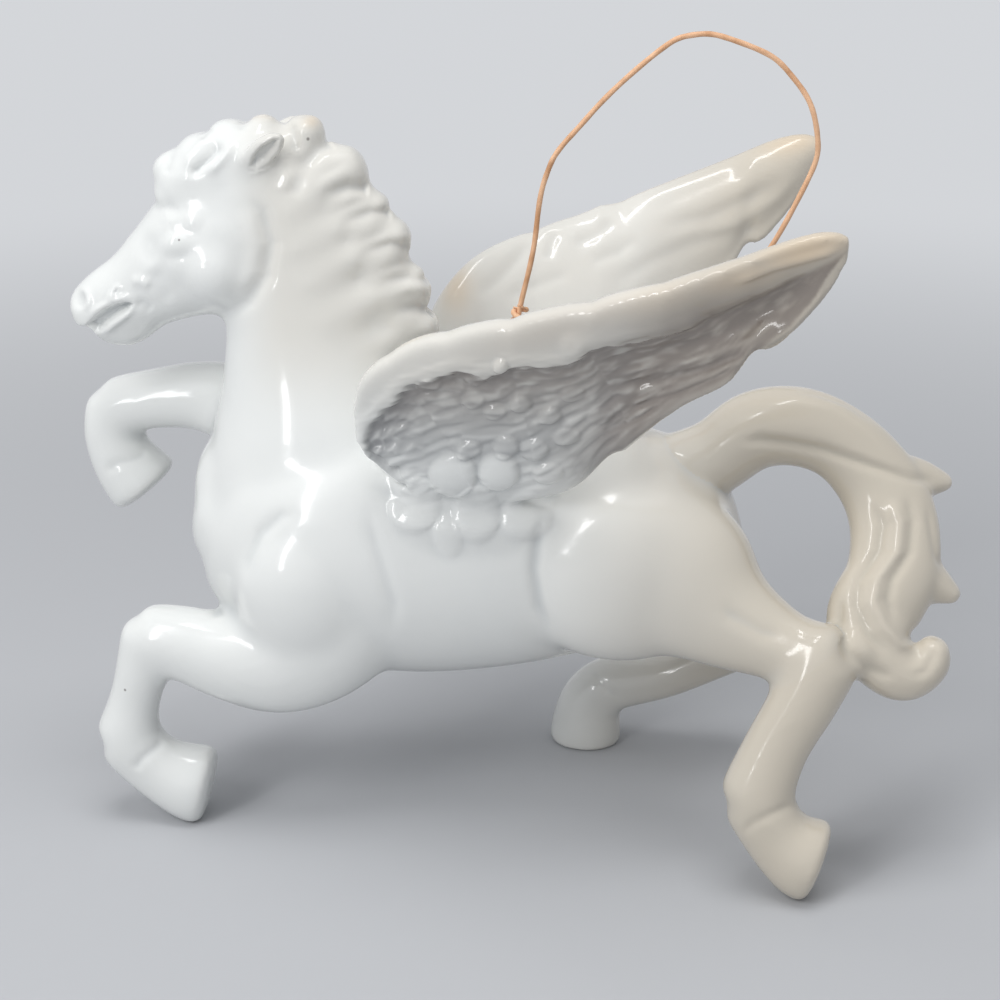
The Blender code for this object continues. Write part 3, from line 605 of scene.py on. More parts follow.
# %% Fuse the body, the mane, the forelock and the tail, each by itself
sources = {
    "body": moulded(body_rolls, BODY_VOXEL, BODY_SMOOTHING_STEPS),
    "mane": moulded(mane_rolls, TRIM_VOXEL, TRIM_SMOOTHING_STEPS),
    "forelock": moulded(forelock_rolls, TRIM_VOXEL, TRIM_SMOOTHING_STEPS),
    "tail": moulded(tail_rolls, TRIM_VOXEL, TRIM_SMOOTHING_STEPS),
    "left_ear": ear(-1),
    "right_ear": ear(1),
    "left_wing": left_wing_blank,
    "right_wing": right_wing_blank,
}
for name, (points, faces) in sources.items():
    print(name, "source faces", len(faces))

# %% Level the soles
body_points = sources["body"][0]
body_points[:, 2] = body_points[:, 2].clip(0)
print("soles level at z", body_points[:, 2].min())

# %% [markdown]
# Some clay is cut away when it is leather hard. The lower lip is set back under the muzzle, and
# the wire's two eyes run in narrow tunnels under the spine. The eyes are rings round the swing
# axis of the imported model. A Boolean takes all three out of the body before the last fuse.

# %% Cut the lip's step and the tunnels for the wire's eyes
WIRE_DIAMETER = 1.1
EYE_RADIUS = 4.5
TUNNEL_RADIUS = 1.0
joint = frame["joints"][0]
hinge = np.array(joint["pos_m"], float) / MM - STAND
swing_axis = unit(np.array(joint["axis"], float))
EYE_SPACING = 28.25
eye_side = np.array((0.0, 1.0, 0.0))
eye_lift = np.cross(swing_axis, eye_side)
eye_centres = [hinge, hinge + swing_axis * EYE_SPACING]


def ring_path(centre, count=48):
    angles = np.linspace(0, 2 * math.pi, count, endpoint=False)
    return centre + EYE_RADIUS * (np.outer(np.cos(angles), eye_lift) + np.outer(np.sin(angles), eye_side))


def tube(path, radii, sides=14, closed=False):
    """Points and faces of a round tube along a path, carried along without twist."""
    path = np.asarray(path, float)
    if closed:
        along = unit(np.roll(path, -1, axis=0) - np.roll(path, 1, axis=0))
    else:
        along = unit(np.gradient(path, axis=0))
    rings = []
    across = unit(np.cross(along[0], (0.31, 0.57, 0.76)))
    angles = np.linspace(0, 2 * math.pi, sides, endpoint=False)
    for point, ahead, radius in zip(path, along, np.broadcast_to(radii, len(path))):
        across = unit(across - ahead * (across @ ahead))
        other = np.cross(ahead, across)
        rings.append(point + radius * (np.outer(np.cos(angles), across) + np.outer(np.sin(angles), other)))
    if not closed:
        return skin_over(rings)
    points, faces = skin_over(rings + [rings[0]])
    last = len(rings) * sides
    faces = [tuple(c - last if c >= last else c for c in corners) for corners in faces[:-2]]
    return points[:last], faces


def face_outward(mesh):
    """Turn the faces of a closed mesh so that they all look out."""
    bm = bmesh.new()
    bm.from_mesh(mesh)
    bmesh.ops.recalc_face_normals(bm, faces=bm.faces)
    bm.to_mesh(mesh)
    bm.free()


def cut_away(part, tools):
    """The part after each closed tool is taken out of it."""
    solid = mesh_object("leather_hard_clay", *part)
    for points, faces in tools:
        tool = mesh_object("cutting_tool", points, faces)
        face_outward(tool.data)
        cut = solid.modifiers.new("Cut", "BOOLEAN")
        cut.object = tool
        cut.operation = "DIFFERENCE"
        cut.solver = "EXACT"
        solid.data = evaluated_mesh(solid)
        solid.modifiers.clear()
        bpy.data.objects.remove(tool)
    mesh = solid.data
    bpy.data.objects.remove(solid)
    return points_of(mesh), [tuple(polygon.vertices) for polygon in mesh.polygons]


lip_outline = [(POLL - share * HEAD_LENGTH, height) for share, height in LIP_STEP]
lip_block = skin_over([np.array([(x, y, z) for x, z in lip_outline]) for y in (-30, 30)])
tunnels = [tube(ring_path(centre), TUNNEL_RADIUS, closed=True) for centre in eye_centres]
cut_body = cut_away(sources["body"], [lip_block, *tunnels])
print("eye centres", [centre.round(2).tolist() for centre in eye_centres])
print("cut body has", len(cut_body[1]), "faces")

# %% Fuse everything into one skin
skin, quads = fuse([cut_body] + [part for name, part in sources.items() if name != "body"], SKIN_VOXEL)
print("one skin of", len(quads), "faces")


# %% [markdown]
# ## Which clay is which
#
# The CAD model parts the casting at its mould seams. Each face of the skin takes the name of the
# nearest source form, and faces of the body take theirs from the seam outlines, seen from the
# side. The pieces can then be told apart although the skin is one.

# %% Name every face of the skin
HEAD_SEAM = [
    (-59.5, 107),
    (-50.5, 111),
    (-46.5, 120),
    (-46, 132),
    (-44, 152),
    (POLL - 1.4 * HEAD_LENGTH, 160),
    (POLL - 1.4 * HEAD_LENGTH, 99),
    (-68, 99),
]
NECK_SEAM = [(-70, 101), (-50, 96.5), (-30, 92.5), (-10, 93), (-3, 97), (0, 160), (-70, 160)]
LEFT_FORE_SEAM = [(-61, 51.5), (-47, 24), (-47, -5), (-95, -5), (-95, 56), (-66, 54)]
RIGHT_FORE_SEAM = [(-67.5, 77), (-67.5, 101), (-100, 101), (-100, 56), (-74, 56)]
LEFT_HIND_SEAM = [(55.5, 42.5), (63, 48.5), (77, 60), (85, 40), (85, -5), (40, -5), (40, 38)]
RIGHT_HIND_SEAM = [(34, 34), (44, 38.5), (62, 46), (70, 46), (70, -5), (0, -5), (0, 27)]
SEAMS = [
    ("head", HEAD_SEAM, (-30, 30)),
    ("neck", NECK_SEAM, (-30, 30)),
    ("left_foreleg", LEFT_FORE_SEAM, (-30, -5.5)),
    ("right_foreleg", RIGHT_FORE_SEAM, (-2, 28)),
    ("left_hind_leg", LEFT_HIND_SEAM, (-50, -8)),
    ("right_hind_leg", RIGHT_HIND_SEAM, (12, 50)),
]
PIECES = ["torso", *(seam[0] for seam in SEAMS), *(name for name in sources if name != "body")]


def inside(outline, places):
    """Which places (two columns) lie inside a closed outline."""
    found = np.zeros(len(places), bool)
    u, v = places.T
    for (u0, v0), (u1, v1) in zip(outline, outline[1:] + outline[:1]):
        crosses = (v0 > v) != (v1 > v)
        slope = (u1 - u0) / (v1 - v0) if v1 != v0 else 0.0
        found ^= crosses & (u < u0 + slope * (v - v0))
    return found


def distance_to(source, points):
    tree = BVHTree.FromPolygons([Vector(p) for p in source[0]], source[1])
    return np.array([tree.find_nearest(Vector(p))[3] for p in points])


MARGIN = 2.5


def named_points(points):
    names = np.zeros(len(points), np.int64)
    for piece, outline, (low, high) in SEAMS:
        within = inside(outline, points[:, [0, 2]]) & (points[:, 1] > low) & (points[:, 1] < high)
        names[within & (names == 0)] = PIECES.index(piece)
    body_distance = np.full(len(points), np.inf)
    nearest = np.full(len(points), np.inf)
    for name, source in sources.items():
        if name == "body":
            continue
        low, high = source[0].min(axis=0) - MARGIN, source[0].max(axis=0) + MARGIN
        near = np.flatnonzero(((points > low) & (points < high)).all(axis=1))
        unknown = near[np.isinf(body_distance[near])]
        body_distance[unknown] = distance_to(sources["body"], points[unknown])
        distance = distance_to(source, points[near])
        better = (distance < body_distance[near]) & (distance < nearest[near])
        nearest[near[better]] = distance[better]
        names[near[better]] = PIECES.index(name)
    return names


face_names = named_points(skin[quads].mean(axis=1))
for index, piece in enumerate(PIECES):
    print(piece, int((face_names == index).sum()), "faces")

# %% [markdown]
# The rolls of hair end inside the neck and the forehead, and the wings stand on the flanks with
# an edge. A wet sponge takes both down: those places, drawn on the view, are smoothed much more
# than the rest, on both sides of the horse.

# %% Sponge the roots of the hair and of the wings
MIRROR = np.array((1, -1, 1))
MANE_ROOTS = [
    (272, 180), (288, 170), (304, 164), (314, 178), (326, 210), (342, 244), (360, 284), (380, 320),
    (388, 362), (352, 374), (322, 346), (298, 308), (280, 268), (266, 226),
]
MANE_SIDE = [
    (296, 112), (330, 124), (376, 146), (396, 200), (424, 240), (446, 300), (446, 340), (388, 362),
    (360, 284), (326, 210), (304, 164), (284, 150),
]
FORELOCK_ROOTS = [
    (176, 186), (204, 176), (238, 176), (262, 180), (284, 190), (284, 230), (240, 226), (206, 216),
    (178, 208),
]
FORELOCK_SIDE = [
    (170, 172), (180, 140), (200, 122), (236, 116), (284, 122), (302, 134), (298, 168), (270, 186),
    (230, 182), (196, 182),
]
WING_FOOT = [
    (366, 462), (384, 462), (412, 470), (475, 482), (537, 480), (570, 462), (594, 444), (620, 440),
    (622, 470), (600, 510), (560, 546), (500, 562), (440, 560), (400, 544), (368, 508),
]
SPONGED = [
    (MANE_ROOTS, 120, 17, -0.3),
    (MANE_SIDE, 16, 17, -0.3),
    (FORELOCK_ROOTS, 80, 17, -0.3),
    (FORELOCK_SIDE, 26, 17, -0.3),
    (WING_FOOT, 240, 40, -0.7),
]
SOFT_EDGE_STEPS = 6
HARDLY_WET = 0.02
NEAR_SIDE_REACH = 2
pairs = neighbour_pairs(quads)
for outline, steps, widest, least_facing in SPONGED:
    wet = np.zeros(len(skin))
    for flip in (np.ones(3), MIRROR):
        facing = -(normals_of(skin, quads) * flip) @ FORWARD
        near_side = (skin[:, 1] * flip[1] < NEAR_SIDE_REACH) & (np.abs(skin[:, 1]) < widest)
        wet[near_side & (facing > least_facing) & inside(outline, seen(skin * flip + STAND))] = 1
    wet = soften_zone(wet[:, None], pairs, SOFT_EDGE_STEPS, np.ones(len(skin)))[:, 0]
    skin = soften_zone(skin, pairs, steps, np.where(wet > HARDLY_WET, wet, 0))
    print("points sponged:", int((wet > 0.5).sum()), "steps:", steps)

# %% Smooth the whole skin, but leave the tunnels as drilled
TUNNEL_REACH = 2.6


def near_tunnel(points):
    """Which points lie in or close to the tunnels of the wire's two eyes."""
    rings = [ring_path(centre, 12) for centre in eye_centres]
    nearest = [np.linalg.norm(points[:, None] - ring, axis=2).min(axis=1) for ring in rings]
    return np.min(nearest, axis=0) < TUNNEL_REACH


skin = soften(skin, pairs, SKIN_SMOOTHING_STEPS, np.where(near_tunnel(skin), 0.0, 1.0))
print("points kept as drilled:", int(near_tunnel(skin).sum()))

# %% [markdown]
# Hair, feathers and the face need finer clay than the barrel. Only those faces are split into
# four, which keeps the whole mesh light.

# %% Split the faces that will be carved finely
def faces_of(mesh):
    """Faces of a mesh as rows of four corners; a triangle repeats its first corner."""
    starts = read_all(mesh.polygons, "loop_start")
    triangles = read_all(mesh.polygons, "loop_total") == 3
    index = starts[:, None] + np.arange(4)
    index[triangles, 3] = starts[triangles]
    return read_all(mesh.loops, "vertex_index")[index]


def in_order(edges):
    """The edges by their corners' numbers; a set of them comes in another order each run."""
    return sorted(edges, key=lambda edge: sorted(vert.index for vert in edge.verts))


def refine(points, quads, face_names, chosen):
    """Split the chosen quads into four; the faces beside them become triangles to match."""
    obj = mesh_object("fine_clay", points, quads)
    layer = obj.data.attributes.new("piece", "INT", "FACE")
    layer.data.foreach_set("value", face_names.astype(np.int32))
    bm = bmesh.new()
    bm.from_mesh(obj.data)
    bm.faces.ensure_lookup_table()
    edges = {edge for index in np.flatnonzero(chosen) for edge in bm.faces[index].edges}
    bmesh.ops.subdivide_edges(bm, edges=in_order(edges), cuts=1, use_grid_fill=True)
    bmesh.ops.triangulate(bm, faces=[face for face in bm.faces if len(face.verts) > 4])
    bm.to_mesh(obj.data)
    bm.free()
    fine_names = read_all(obj.data.attributes["piece"].data, "value", np.int32)
    fine_points, fine_quads = points_of(obj.data), faces_of(obj.data)
    bpy.data.objects.remove(obj)
    return fine_points, fine_quads, fine_names.astype(np.int64)


# %% Find and split those faces
WING_ZONE = {"from_middle": 22, "above": 74, "behind": -30}
HAIR_ZONE = {"from_middle": 18, "above": 92, "before": -8}
PLAIN_NECK = {"from_middle": 6, "below": 118, "behind": -46}
x, y, z = skin[quads].mean(axis=1).T
from_middle = np.abs(y)
towards = (normals_of(skin, quads) @ FORWARD)[quads[:, 0]] < 0.1
in_wing = (from_middle > WING_ZONE["from_middle"]) & (z > WING_ZONE["above"])
in_wing &= (x > WING_ZONE["behind"]) & towards
in_hair = (from_middle < HAIR_ZONE["from_middle"]) & (z > HAIR_ZONE["above"]) & (x < HAIR_ZONE["before"])
plain_neck = (from_middle > PLAIN_NECK["from_middle"]) & (z < PLAIN_NECK["below"])
plain_neck &= x > PLAIN_NECK["behind"]
skin, quads, face_names = refine(skin, quads, face_names, in_wing | in_hair & ~plain_neck)
print("after splitting:", len(quads), "faces")

pairs = neighbour_pairs(quads)
pairs = pairs[pairs[:, 0] != pairs[:, 1]]
in_tunnel = near_tunnel(skin)
skin = soften(skin, pairs, FINE_SMOOTHING_STEPS, np.where(in_tunnel, 0.0, 1.0))


# %% [markdown]
# ## Carving
#
# A carver's loop tool leaves soft furrows. Each furrow here is a short line drawn on the
# photograph's view: points of the skin near the line are moved along their normal, most at the
# middle and less at its ends. A negative depth cuts in and a positive one raises a ridge. The far
# side, which the photograph hides, gets the same lines mirrored.

# %% Carving tools
names = np.zeros(len(skin), np.int64)
names[quads] = face_names[:, None]
normals = normals_of(skin, quads)
relief = np.zeros(len(skin))
FULLY_FACING = 0.35


def canvas(pieces, mirrored=False):
    """The points of some pieces that face the view, their places in it and how far they face it."""
    flip = MIRROR if mirrored else np.ones(3)
    facing = -(normals * flip) @ FORWARD
    wanted = np.isin(names, [PIECES.index(piece) for piece in pieces])
    chosen = np.flatnonzero(wanted & (facing > 0))
    return chosen, seen(skin[chosen] * flip + STAND), (facing[chosen] / FULLY_FACING).clip(0, 1)


def both_sides(pieces, mirrored_pieces=None):
    return [canvas(pieces), canvas(mirrored_pieces or pieces, mirrored=True)]


def line_distance(places, line):
    """Distance to a line of picture points, and how far along it, from 0 to 1."""
    line = np.array(line, float)
    steps = np.linalg.norm(np.diff(line, axis=0), axis=1)
    travelled = np.concatenate([[0], np.cumsum(steps)])
    best = np.full(len(places), np.inf)
    share = np.zeros(len(places))
    for start, end, length, before in zip(line, line[1:], steps, travelled):
        ahead = (end - start) / length
        along = ((places - start) @ ahead).clip(0, length)
        distance = np.linalg.norm(places - start - along[:, None] * ahead, axis=1)
        closer = distance < best
        best[closer] = distance[closer]
        share[closer] = (before + along[closer]) / travelled[-1]
    return best, share


def smooth_step(value):
    value = np.clip(value, 0, 1)
    return value * value * (3 - 2 * value)


def carve(canvases, line, radius, depth, ends=0.3):
    """One furrow or ridge; ends is the share of its length over which it fades at each end.

    Radius and ends may be pairs, for a furrow that differs from one end to the other.
    """
    first, last = radius if isinstance(radius, tuple) else (radius, radius)
    head_end, tail_end = ends if isinstance(ends, tuple) else (ends, ends)
    for chosen, places, facing in canvases:
        distance, share = line_distance(places, line)
        radius = first + (last - first) * share
        fade = smooth_step(share / head_end) * smooth_step((1 - share) / tail_end)
        relief[chosen] += depth * np.exp(-((distance / radius) ** 2)) * fade * facing


def reach_from(places, centre, radii, turn=0):
    """Squared distance from the middle of an oval, turned by some degrees; it is 1 on the rim."""
    angle = math.radians(turn)
    offset = places - centre
    u = (offset[:, 0] * math.cos(angle) + offset[:, 1] * math.sin(angle)) / radii[0]
    v = (offset[:, 1] * math.cos(angle) - offset[:, 0] * math.sin(angle)) / radii[1]
    return u * u + v * v


def swell(canvases, centre, radii, height, turn=0, creased=False):
    """A round lump, or with a negative height a dimple; it may have a crease round its foot."""
    for chosen, places, facing in canvases:
        reach = reach_from(places, centre, radii, turn)
        shape = np.sqrt((1 - reach).clip(0)) if creased else np.exp(-(reach**1.5))
        relief[chosen] += height * shape * facing


def set_back(canvases, outline, depth, edge):
    """Press in the skin inside a closed outline, with an edge so many pixels wide."""
    for chosen, places, facing in canvases:
        distance, _ = line_distance(places, [*outline, outline[0]])
        relief[chosen] -= depth * inside(outline, places) * smooth_step(distance / edge) * facing


# %% [markdown]
# The face has an almond eye under a brow, a round flat cheek, an oval nostril with a rim, a
# second dimple behind it, and an open mouth with a short chin.

# %% Carve the head
head = both_sides(["head", "neck", "forelock"])
swell(head, (176, 242), (15, 11), 0.45, -10)
carve(head, [(158, 250), (163, 238), (174, 232), (188, 234), (198, 241)], 5.5, -0.16)
carve(head, [(162, 254), (172, 258), (185, 256), (196, 250)], 5, -0.12)
carve(head, [(160, 226), (170, 219), (187, 218), (204, 228)], 9, 0.4)
carve(head, [(174, 212), (169, 230), (170, 252), (175, 272), (178, 290)], 9, 0.4)
swell(head, (148, 248), (10, 15), -0.5)
carve(head, [(246, 192), (262, 212), (270, 243), (265, 275), (248, 301), (224, 320)], 8, -0.9, 0.25)
carve(head, [(236, 206), (250, 226), (255, 250), (249, 276), (233, 296)], 10, 0.35)
carve(head, [(150, 266), (160, 286), (172, 306)], 10, -0.45)
swell(head, (79, 300), (6, 8), -0.7, 10)
carve(head, [(78, 288), (87, 292), (89, 302), (86, 314)], 3.2, 0.35)
carve(head, [(106, 303), (113, 293), (122, 283)], (3.2, 4), 0.5, 0.4)
carve(head, [(113, 295), (119, 287)], 1.8, -0.5, 0.4)
carve(head, [(129, 281), (140, 281), (152, 286)], 5.5, 0.45)
MOUTH = [
    (84, 326), (93, 317), (103, 309), (113, 304), (124, 301), (136, 303), (128, 312), (117, 319),
    (108, 326), (101, 334), (94, 334),
]
set_back(head, MOUTH, 1.7, 5)
carve(head, [(84, 320), (98, 309), (112, 301), (126, 297), (138, 299)], 3.6, 0.45)
carve(head, [(102, 336), (112, 326), (124, 317), (136, 308)], 3.4, 0.55)
carve(head, [(134, 302), (144, 304), (154, 311)], 5, -0.4)
print("deepest line on the face", relief.min().round(2), "mm")

# %% [markdown]
# Locks of porcelain hair are carved with a rounded tool, so each has a few soft furrows that run
# from the notch between two locks towards the neck and fade there.

# %% Carve the mane and the forelock
hair = both_sides(["mane", "neck", "forelock", "head", "torso"])
LOCK_FURROWS = [
    [(332, 141), (318, 150), (305, 163), (297, 182)],
    [(370, 188), (350, 187), (331, 193), (314, 206)],
    [(393, 212), (372, 212), (352, 219), (334, 234)],
    [(413, 248), (392, 244), (371, 250), (352, 264)],
    [(434, 280), (411, 276), (389, 281), (370, 294)],
    [(443, 311), (420, 307), (399, 311), (382, 322)],
    [(455, 346), (430, 340), (408, 344), (390, 354)],
]
for line in LOCK_FURROWS:
    carve(hair, line, (6, 9), -0.8, (0.05, 0.6))
LOCK_LINES = [
    [(360, 160), (340, 165), (322, 175), (312, 188)],
    [(384, 200), (362, 201), (342, 209), (328, 220)],
    [(404, 232), (384, 232), (364, 240), (350, 250)],
    [(424, 264), (402, 264), (382, 270), (368, 280)],
    [(434, 296), (412, 296), (392, 302)],
]
for line in LOCK_LINES:
    carve(hair, line, 5.5, -0.3, 0.5)
swell(hair, (312, 128), (14, 12), 0.5)
carve(hair, [(188, 178), (199, 167), (211, 155), (223, 140)], (4.5, 7), -1.1, 0.25)
carve(hair, [(184, 172), (189, 158), (200, 146), (214, 134)], 5, 0.45)
carve(hair, [(204, 176), (216, 166), (228, 152), (234, 138)], 5, 0.5)
carve(hair, [(236, 166), (246, 154), (262, 140), (276, 130)], 3.5, 0.35)
carve(hair, [(243, 176), (262, 168), (278, 154), (286, 140)], 4, 0.3)
ear_bed = ["forelock", "mane", "neck"]
both_ears = both_sides(["left_ear", *ear_bed], ["right_ear", *ear_bed])
EAR_BOWL = [
    (248, 168), (250, 157), (259, 146), (273, 137), (281, 138), (279, 150), (268, 163), (256, 170),
]
set_back(both_ears, EAR_BOWL, 1.2, 6)
carve(hair, [(172, 150), (168, 162), (165, 176)], 4.5, -0.35)
carve(hair, [(212, 124), (205, 132), (199, 142)], 4.5, -0.3)
carve(hair, [(252, 113), (243, 121), (238, 132)], 4.5, -0.35)
carve(hair, [(296, 118), (292, 130), (294, 144), (299, 156)], 6, -0.6)
carve(hair, [(285, 168), (287, 180), (280, 195)], 6, 0.5, 0.4)
carve(hair, [(298, 170), (299, 184), (293, 200)], 7, -0.35, 0.4)
print("hair furrows:", len(LOCK_FURROWS) + len(LOCK_LINES))

# %% [markdown]
# The body carries only a few lines: where the shoulder and the haunch stand out from the barrel,
# and where each hoof begins.

# %% Carve the body and the legs
flanks = both_sides(["torso", "neck"])
carve(flanks, [(304, 514), (280, 516), (259, 534), (248, 560), (243, 592)], 7, -0.55)
carve(flanks, [(549, 502), (538, 535), (534, 570), (539, 606), (556, 644)], 6, -0.7)
carve(flanks, [(366, 498), (371, 532), (381, 566), (393, 604), (392, 640)], 8, -0.5)
legs = [canvas(["left_foreleg", "right_foreleg", "left_hind_leg", "right_hind_leg", "torso"])]
carve(legs, [(131, 772), (143, 758), (158, 746), (164, 736)], 4.5, -0.45, 0.2)
carve(legs, [(104, 474), (116, 464), (134, 459), (150, 451)], 4.5, -0.45, 0.2)
carve(legs, [(741, 836), (752, 824), (772, 814), (796, 803)], 4.5, -0.45, 0.2)
carve(legs, [(572, 668), (590, 673), (604, 686), (622, 700)], 4.5, -0.4, 0.2)
carve(legs, [(716, 600), (731, 615), (761, 632), (792, 639)], 8, -0.5)
print("deepest line on the body and the legs", relief[legs[0][0]].min().round(2), "mm")

# %% [markdown]
# The tail is a flat band of hair that turns over itself: a crease runs from the rump to the
# upper tuft, and an S-shaped ridge runs down the outer side into the curled end.

# %% Carve the tail
tail = [canvas(["tail", "left_hind_leg"])]
TAIL_LINES = [
    ([(735, 443), (761, 440), (792, 444), (824, 450), (860, 462), (889, 471), (914, 478), (945, 482)],
     5, -0.9, 0.15),
    ([(741, 420), (770, 404), (800, 401), (835, 410), (870, 434), (905, 466)], 7, 0.4),
    ([(790, 392), (818, 394), (850, 406), (882, 428)], 3, -0.35),
    ([(889, 498), (900, 522), (897, 552), (877, 580), (873, 602), (884, 626), (900, 645), (920, 652)],
     5, 0.8, 0.1),
    ([(904, 492), (913, 520), (910, 552), (892, 580), (888, 600), (896, 622)], 4.5, -0.7, 0.15),
    ([(872, 500), (882, 526), (878, 552), (858, 580), (856, 606), (868, 634), (890, 656)], 5, -0.8, 0.15),
    ([(842, 596), (838, 626), (848, 652), (868, 668), (897, 680)], 5, -0.7, 0.15),
    ([(926, 500), (932, 530), (936, 556), (950, 582)], 3.5, -0.4),
    ([(925, 640), (934, 655), (926, 672), (908, 678)], 4, -0.45),
]
for line, *stroke in TAIL_LINES:
    carve(tail, line, *stroke)
print("relief so far from", relief.min().round(2), "to", relief.max().round(2), "mm")

# %% [markdown]
# ## Feathers
#
# On the real wing a smooth rolled band forms the leading edge. Below it the face is set back and
# carved: short tufts fan out at the front, round coverts sit by the root, wavy strands run
# through the middle, and long plain furrows follow the trailing edge to the tip. The strands lie
# between two guide lines, the band's lower edge and the trailing edge. Each one follows its share
# of the way between them, with a small wave of its own, so that no two are alike.

# %% Guide lines of the wing's outer face
BAND_EDGE = [
    (359, 470), (362, 450), (365, 428), (377, 414), (392, 402), (400, 391), (412, 383), (429, 378),
    (443, 374), (457, 370), (471, 371), (486, 377), (497, 373), (507, 367), (527, 366), (547, 366),
    (567, 364), (578, 358), (586, 350), (607, 345), (640, 340), (680, 331), (715, 316), (750, 298),
    (790, 278), (830, 258), (849, 247),
]
TRAILING_EDGE = [
    (376, 498), (396, 524), (440, 530), (500, 524), (556, 510), (590, 490), (611, 460), (640, 436),
    (671, 414), (700, 398), (730, 382), (750, 364), (756, 352), (790, 326), (814, 299), (828, 275),
    (849, 249),
]
outer_face = both_sides(["left_wing"], ["right_wing"])
outer_root = both_sides(["left_wing", "torso"], ["right_wing", "torso"])
FIELD_OUTLINE = [*BAND_EDGE, *TRAILING_EDGE[::-1]]
FOOT_END = 560
FOOT_TOP = 482
feathered = []
wing_share = np.zeros(len(skin))
for chosen, places, facing in outer_root:
    on_wing = names[chosen] != PIECES.index("torso")
    within = inside(FIELD_OUTLINE, places) * (places[:, 0] < FOOT_END)
    under = smooth_step((places[:, 1] - FOOT_TOP) / 16) * within
    wing_share[chosen] = np.where(on_wing, 1, under)
    feathered.append((chosen, places, facing * wing_share[chosen]))


def resampled(line, count):
    """Places spread evenly by length along a line of picture points."""
    line = np.array(line, float)
    travelled = np.concatenate([[0], np.cumsum(np.linalg.norm(np.diff(line, axis=0), axis=1))])
    wanted = np.linspace(0, travelled[-1], count)
    return np.stack([np.interp(wanted, travelled, line[:, k]) for k in range(2)], axis=1)


GUIDE_POINTS = 80
band_guide, trail_guide = resampled(BAND_EDGE, GUIDE_POINTS), resampled(TRAILING_EDGE, GUIDE_POINTS)


STRAND_POINTS = 14
WAVES_PER_WING = 34


def strand(across, start, end, wave, phase):
    """A line at its share of the way between the guides, with that many pixels of wave."""
    along = np.linspace(start, end, STRAND_POINTS)
    index = along * (GUIDE_POINTS - 1)
    low = np.floor(index).astype(int).clip(0, GUIDE_POINTS - 2)
    part = (index - low)[:, None]
    band = band_guide[low] * (1 - part) + band_guide[low + 1] * part
    trail = trail_guide[low] * (1 - part) + trail_guide[low + 1] * part
    middle = band + (trail - band) * across
    middle[:, 1] += wave * np.sin(phase + along * WAVES_PER_WING)
    return middle


RAGGED_BY = 4
FAR_ABOVE = -20


def field_places(places):
    """Pixels below the band's ragged edge and above the trailing edge, and the share along it."""
    band_distance, along = line_distance(places, BAND_EDGE)
    trail_distance, _ = line_distance(places, TRAILING_EDGE)
    within = inside(FIELD_OUTLINE, places)
    ragged = np.array([noise.noise(Vector((x / 15, y / 5, 0))) for x, y in places])
    below = np.where(within, band_distance, -band_distance) + RAGGED_BY * ragged * (1 - along)
    below[~within & (trail_distance < band_distance)] = FAR_ABOVE
    return below, trail_distance, along


def streaks(below, trail_distance, along):
    """Wavy streaks from -1 to 1 that follow the strands: long along the wing and narrow across it."""
    across = below / (below.clip(0) + trail_distance + 1)
    values = [
        noise.noise(Vector((u * 24, v * 18, 3))) + 0.6 * noise.noise(Vector((u * 50, v * 34, 8)))
        for u, v in zip(along, across)
    ]
    return np.array(values).clip(-1, 1)


print("points of the feathered faces:", sum(len(chosen) for chosen, _, _ in feathered))

# %% Set the face back below the band
BAND_STEP = 1.3
LIP_HEIGHT = 0.35
STREAK_DEPTH = 0.2
fields = [field_places(places) for _, places, _ in feathered]
for (chosen, _, facing), (below, trail_distance, along) in zip(feathered, fields):
    depth = smooth_step(below / 8) * smooth_step(trail_distance / 26) * (1 - 0.75 * along**2)
    relief[chosen] -= BAND_STEP * depth * facing
    lip = np.exp(-(((below + 6) / 6) ** 2)) * (1 - along) ** 0.5
    relief[chosen] += LIP_HEIGHT * lip * facing
plain_relief = relief.copy()
streak_mark = np.zeros(len(skin))
for (chosen, _, facing), (below, trail_distance, along) in zip(feathered, fields):
    within = smooth_step(below / 6) * smooth_step(trail_distance / 16) * facing
    streak_mark[chosen] = streaks(below, trail_distance, along) * within
    relief[chosen] += STREAK_DEPTH * streak_mark[chosen] * (1 - along)
print("streaks from", streak_mark.min().round(2), "to", streak_mark.max().round(2))

# %% Cut the tufts
TUFTS = [
    [(352, 446), (368, 450), (392, 446), (420, 440)],
    [(358, 424), (376, 430), (400, 428), (428, 424)],
    [(378, 402), (394, 412), (418, 414), (446, 410)],
    [(402, 380), (414, 392), (436, 398), (460, 396)],
    [(430, 372), (440, 382), (462, 388), (486, 388)],
    [(358, 470), (376, 466), (398, 460), (424, 452)],
    [(368, 486), (384, 480), (404, 470), (424, 462)],
    [(380, 502), (392, 492), (408, 482), (424, 472)],
    [(480, 370), (490, 380), (506, 386), (530, 388)],
]
for line in TUFTS:
    carve(outer_face, line, 4, -0.5, 0.4)
print("tufts:", len(TUFTS))

# %% [markdown]
# A carver would never repeat a strand, so the strands' places and lengths are drawn at random,
# with a fixed seed that gives the same wing each time. Low lumps break up their rows.

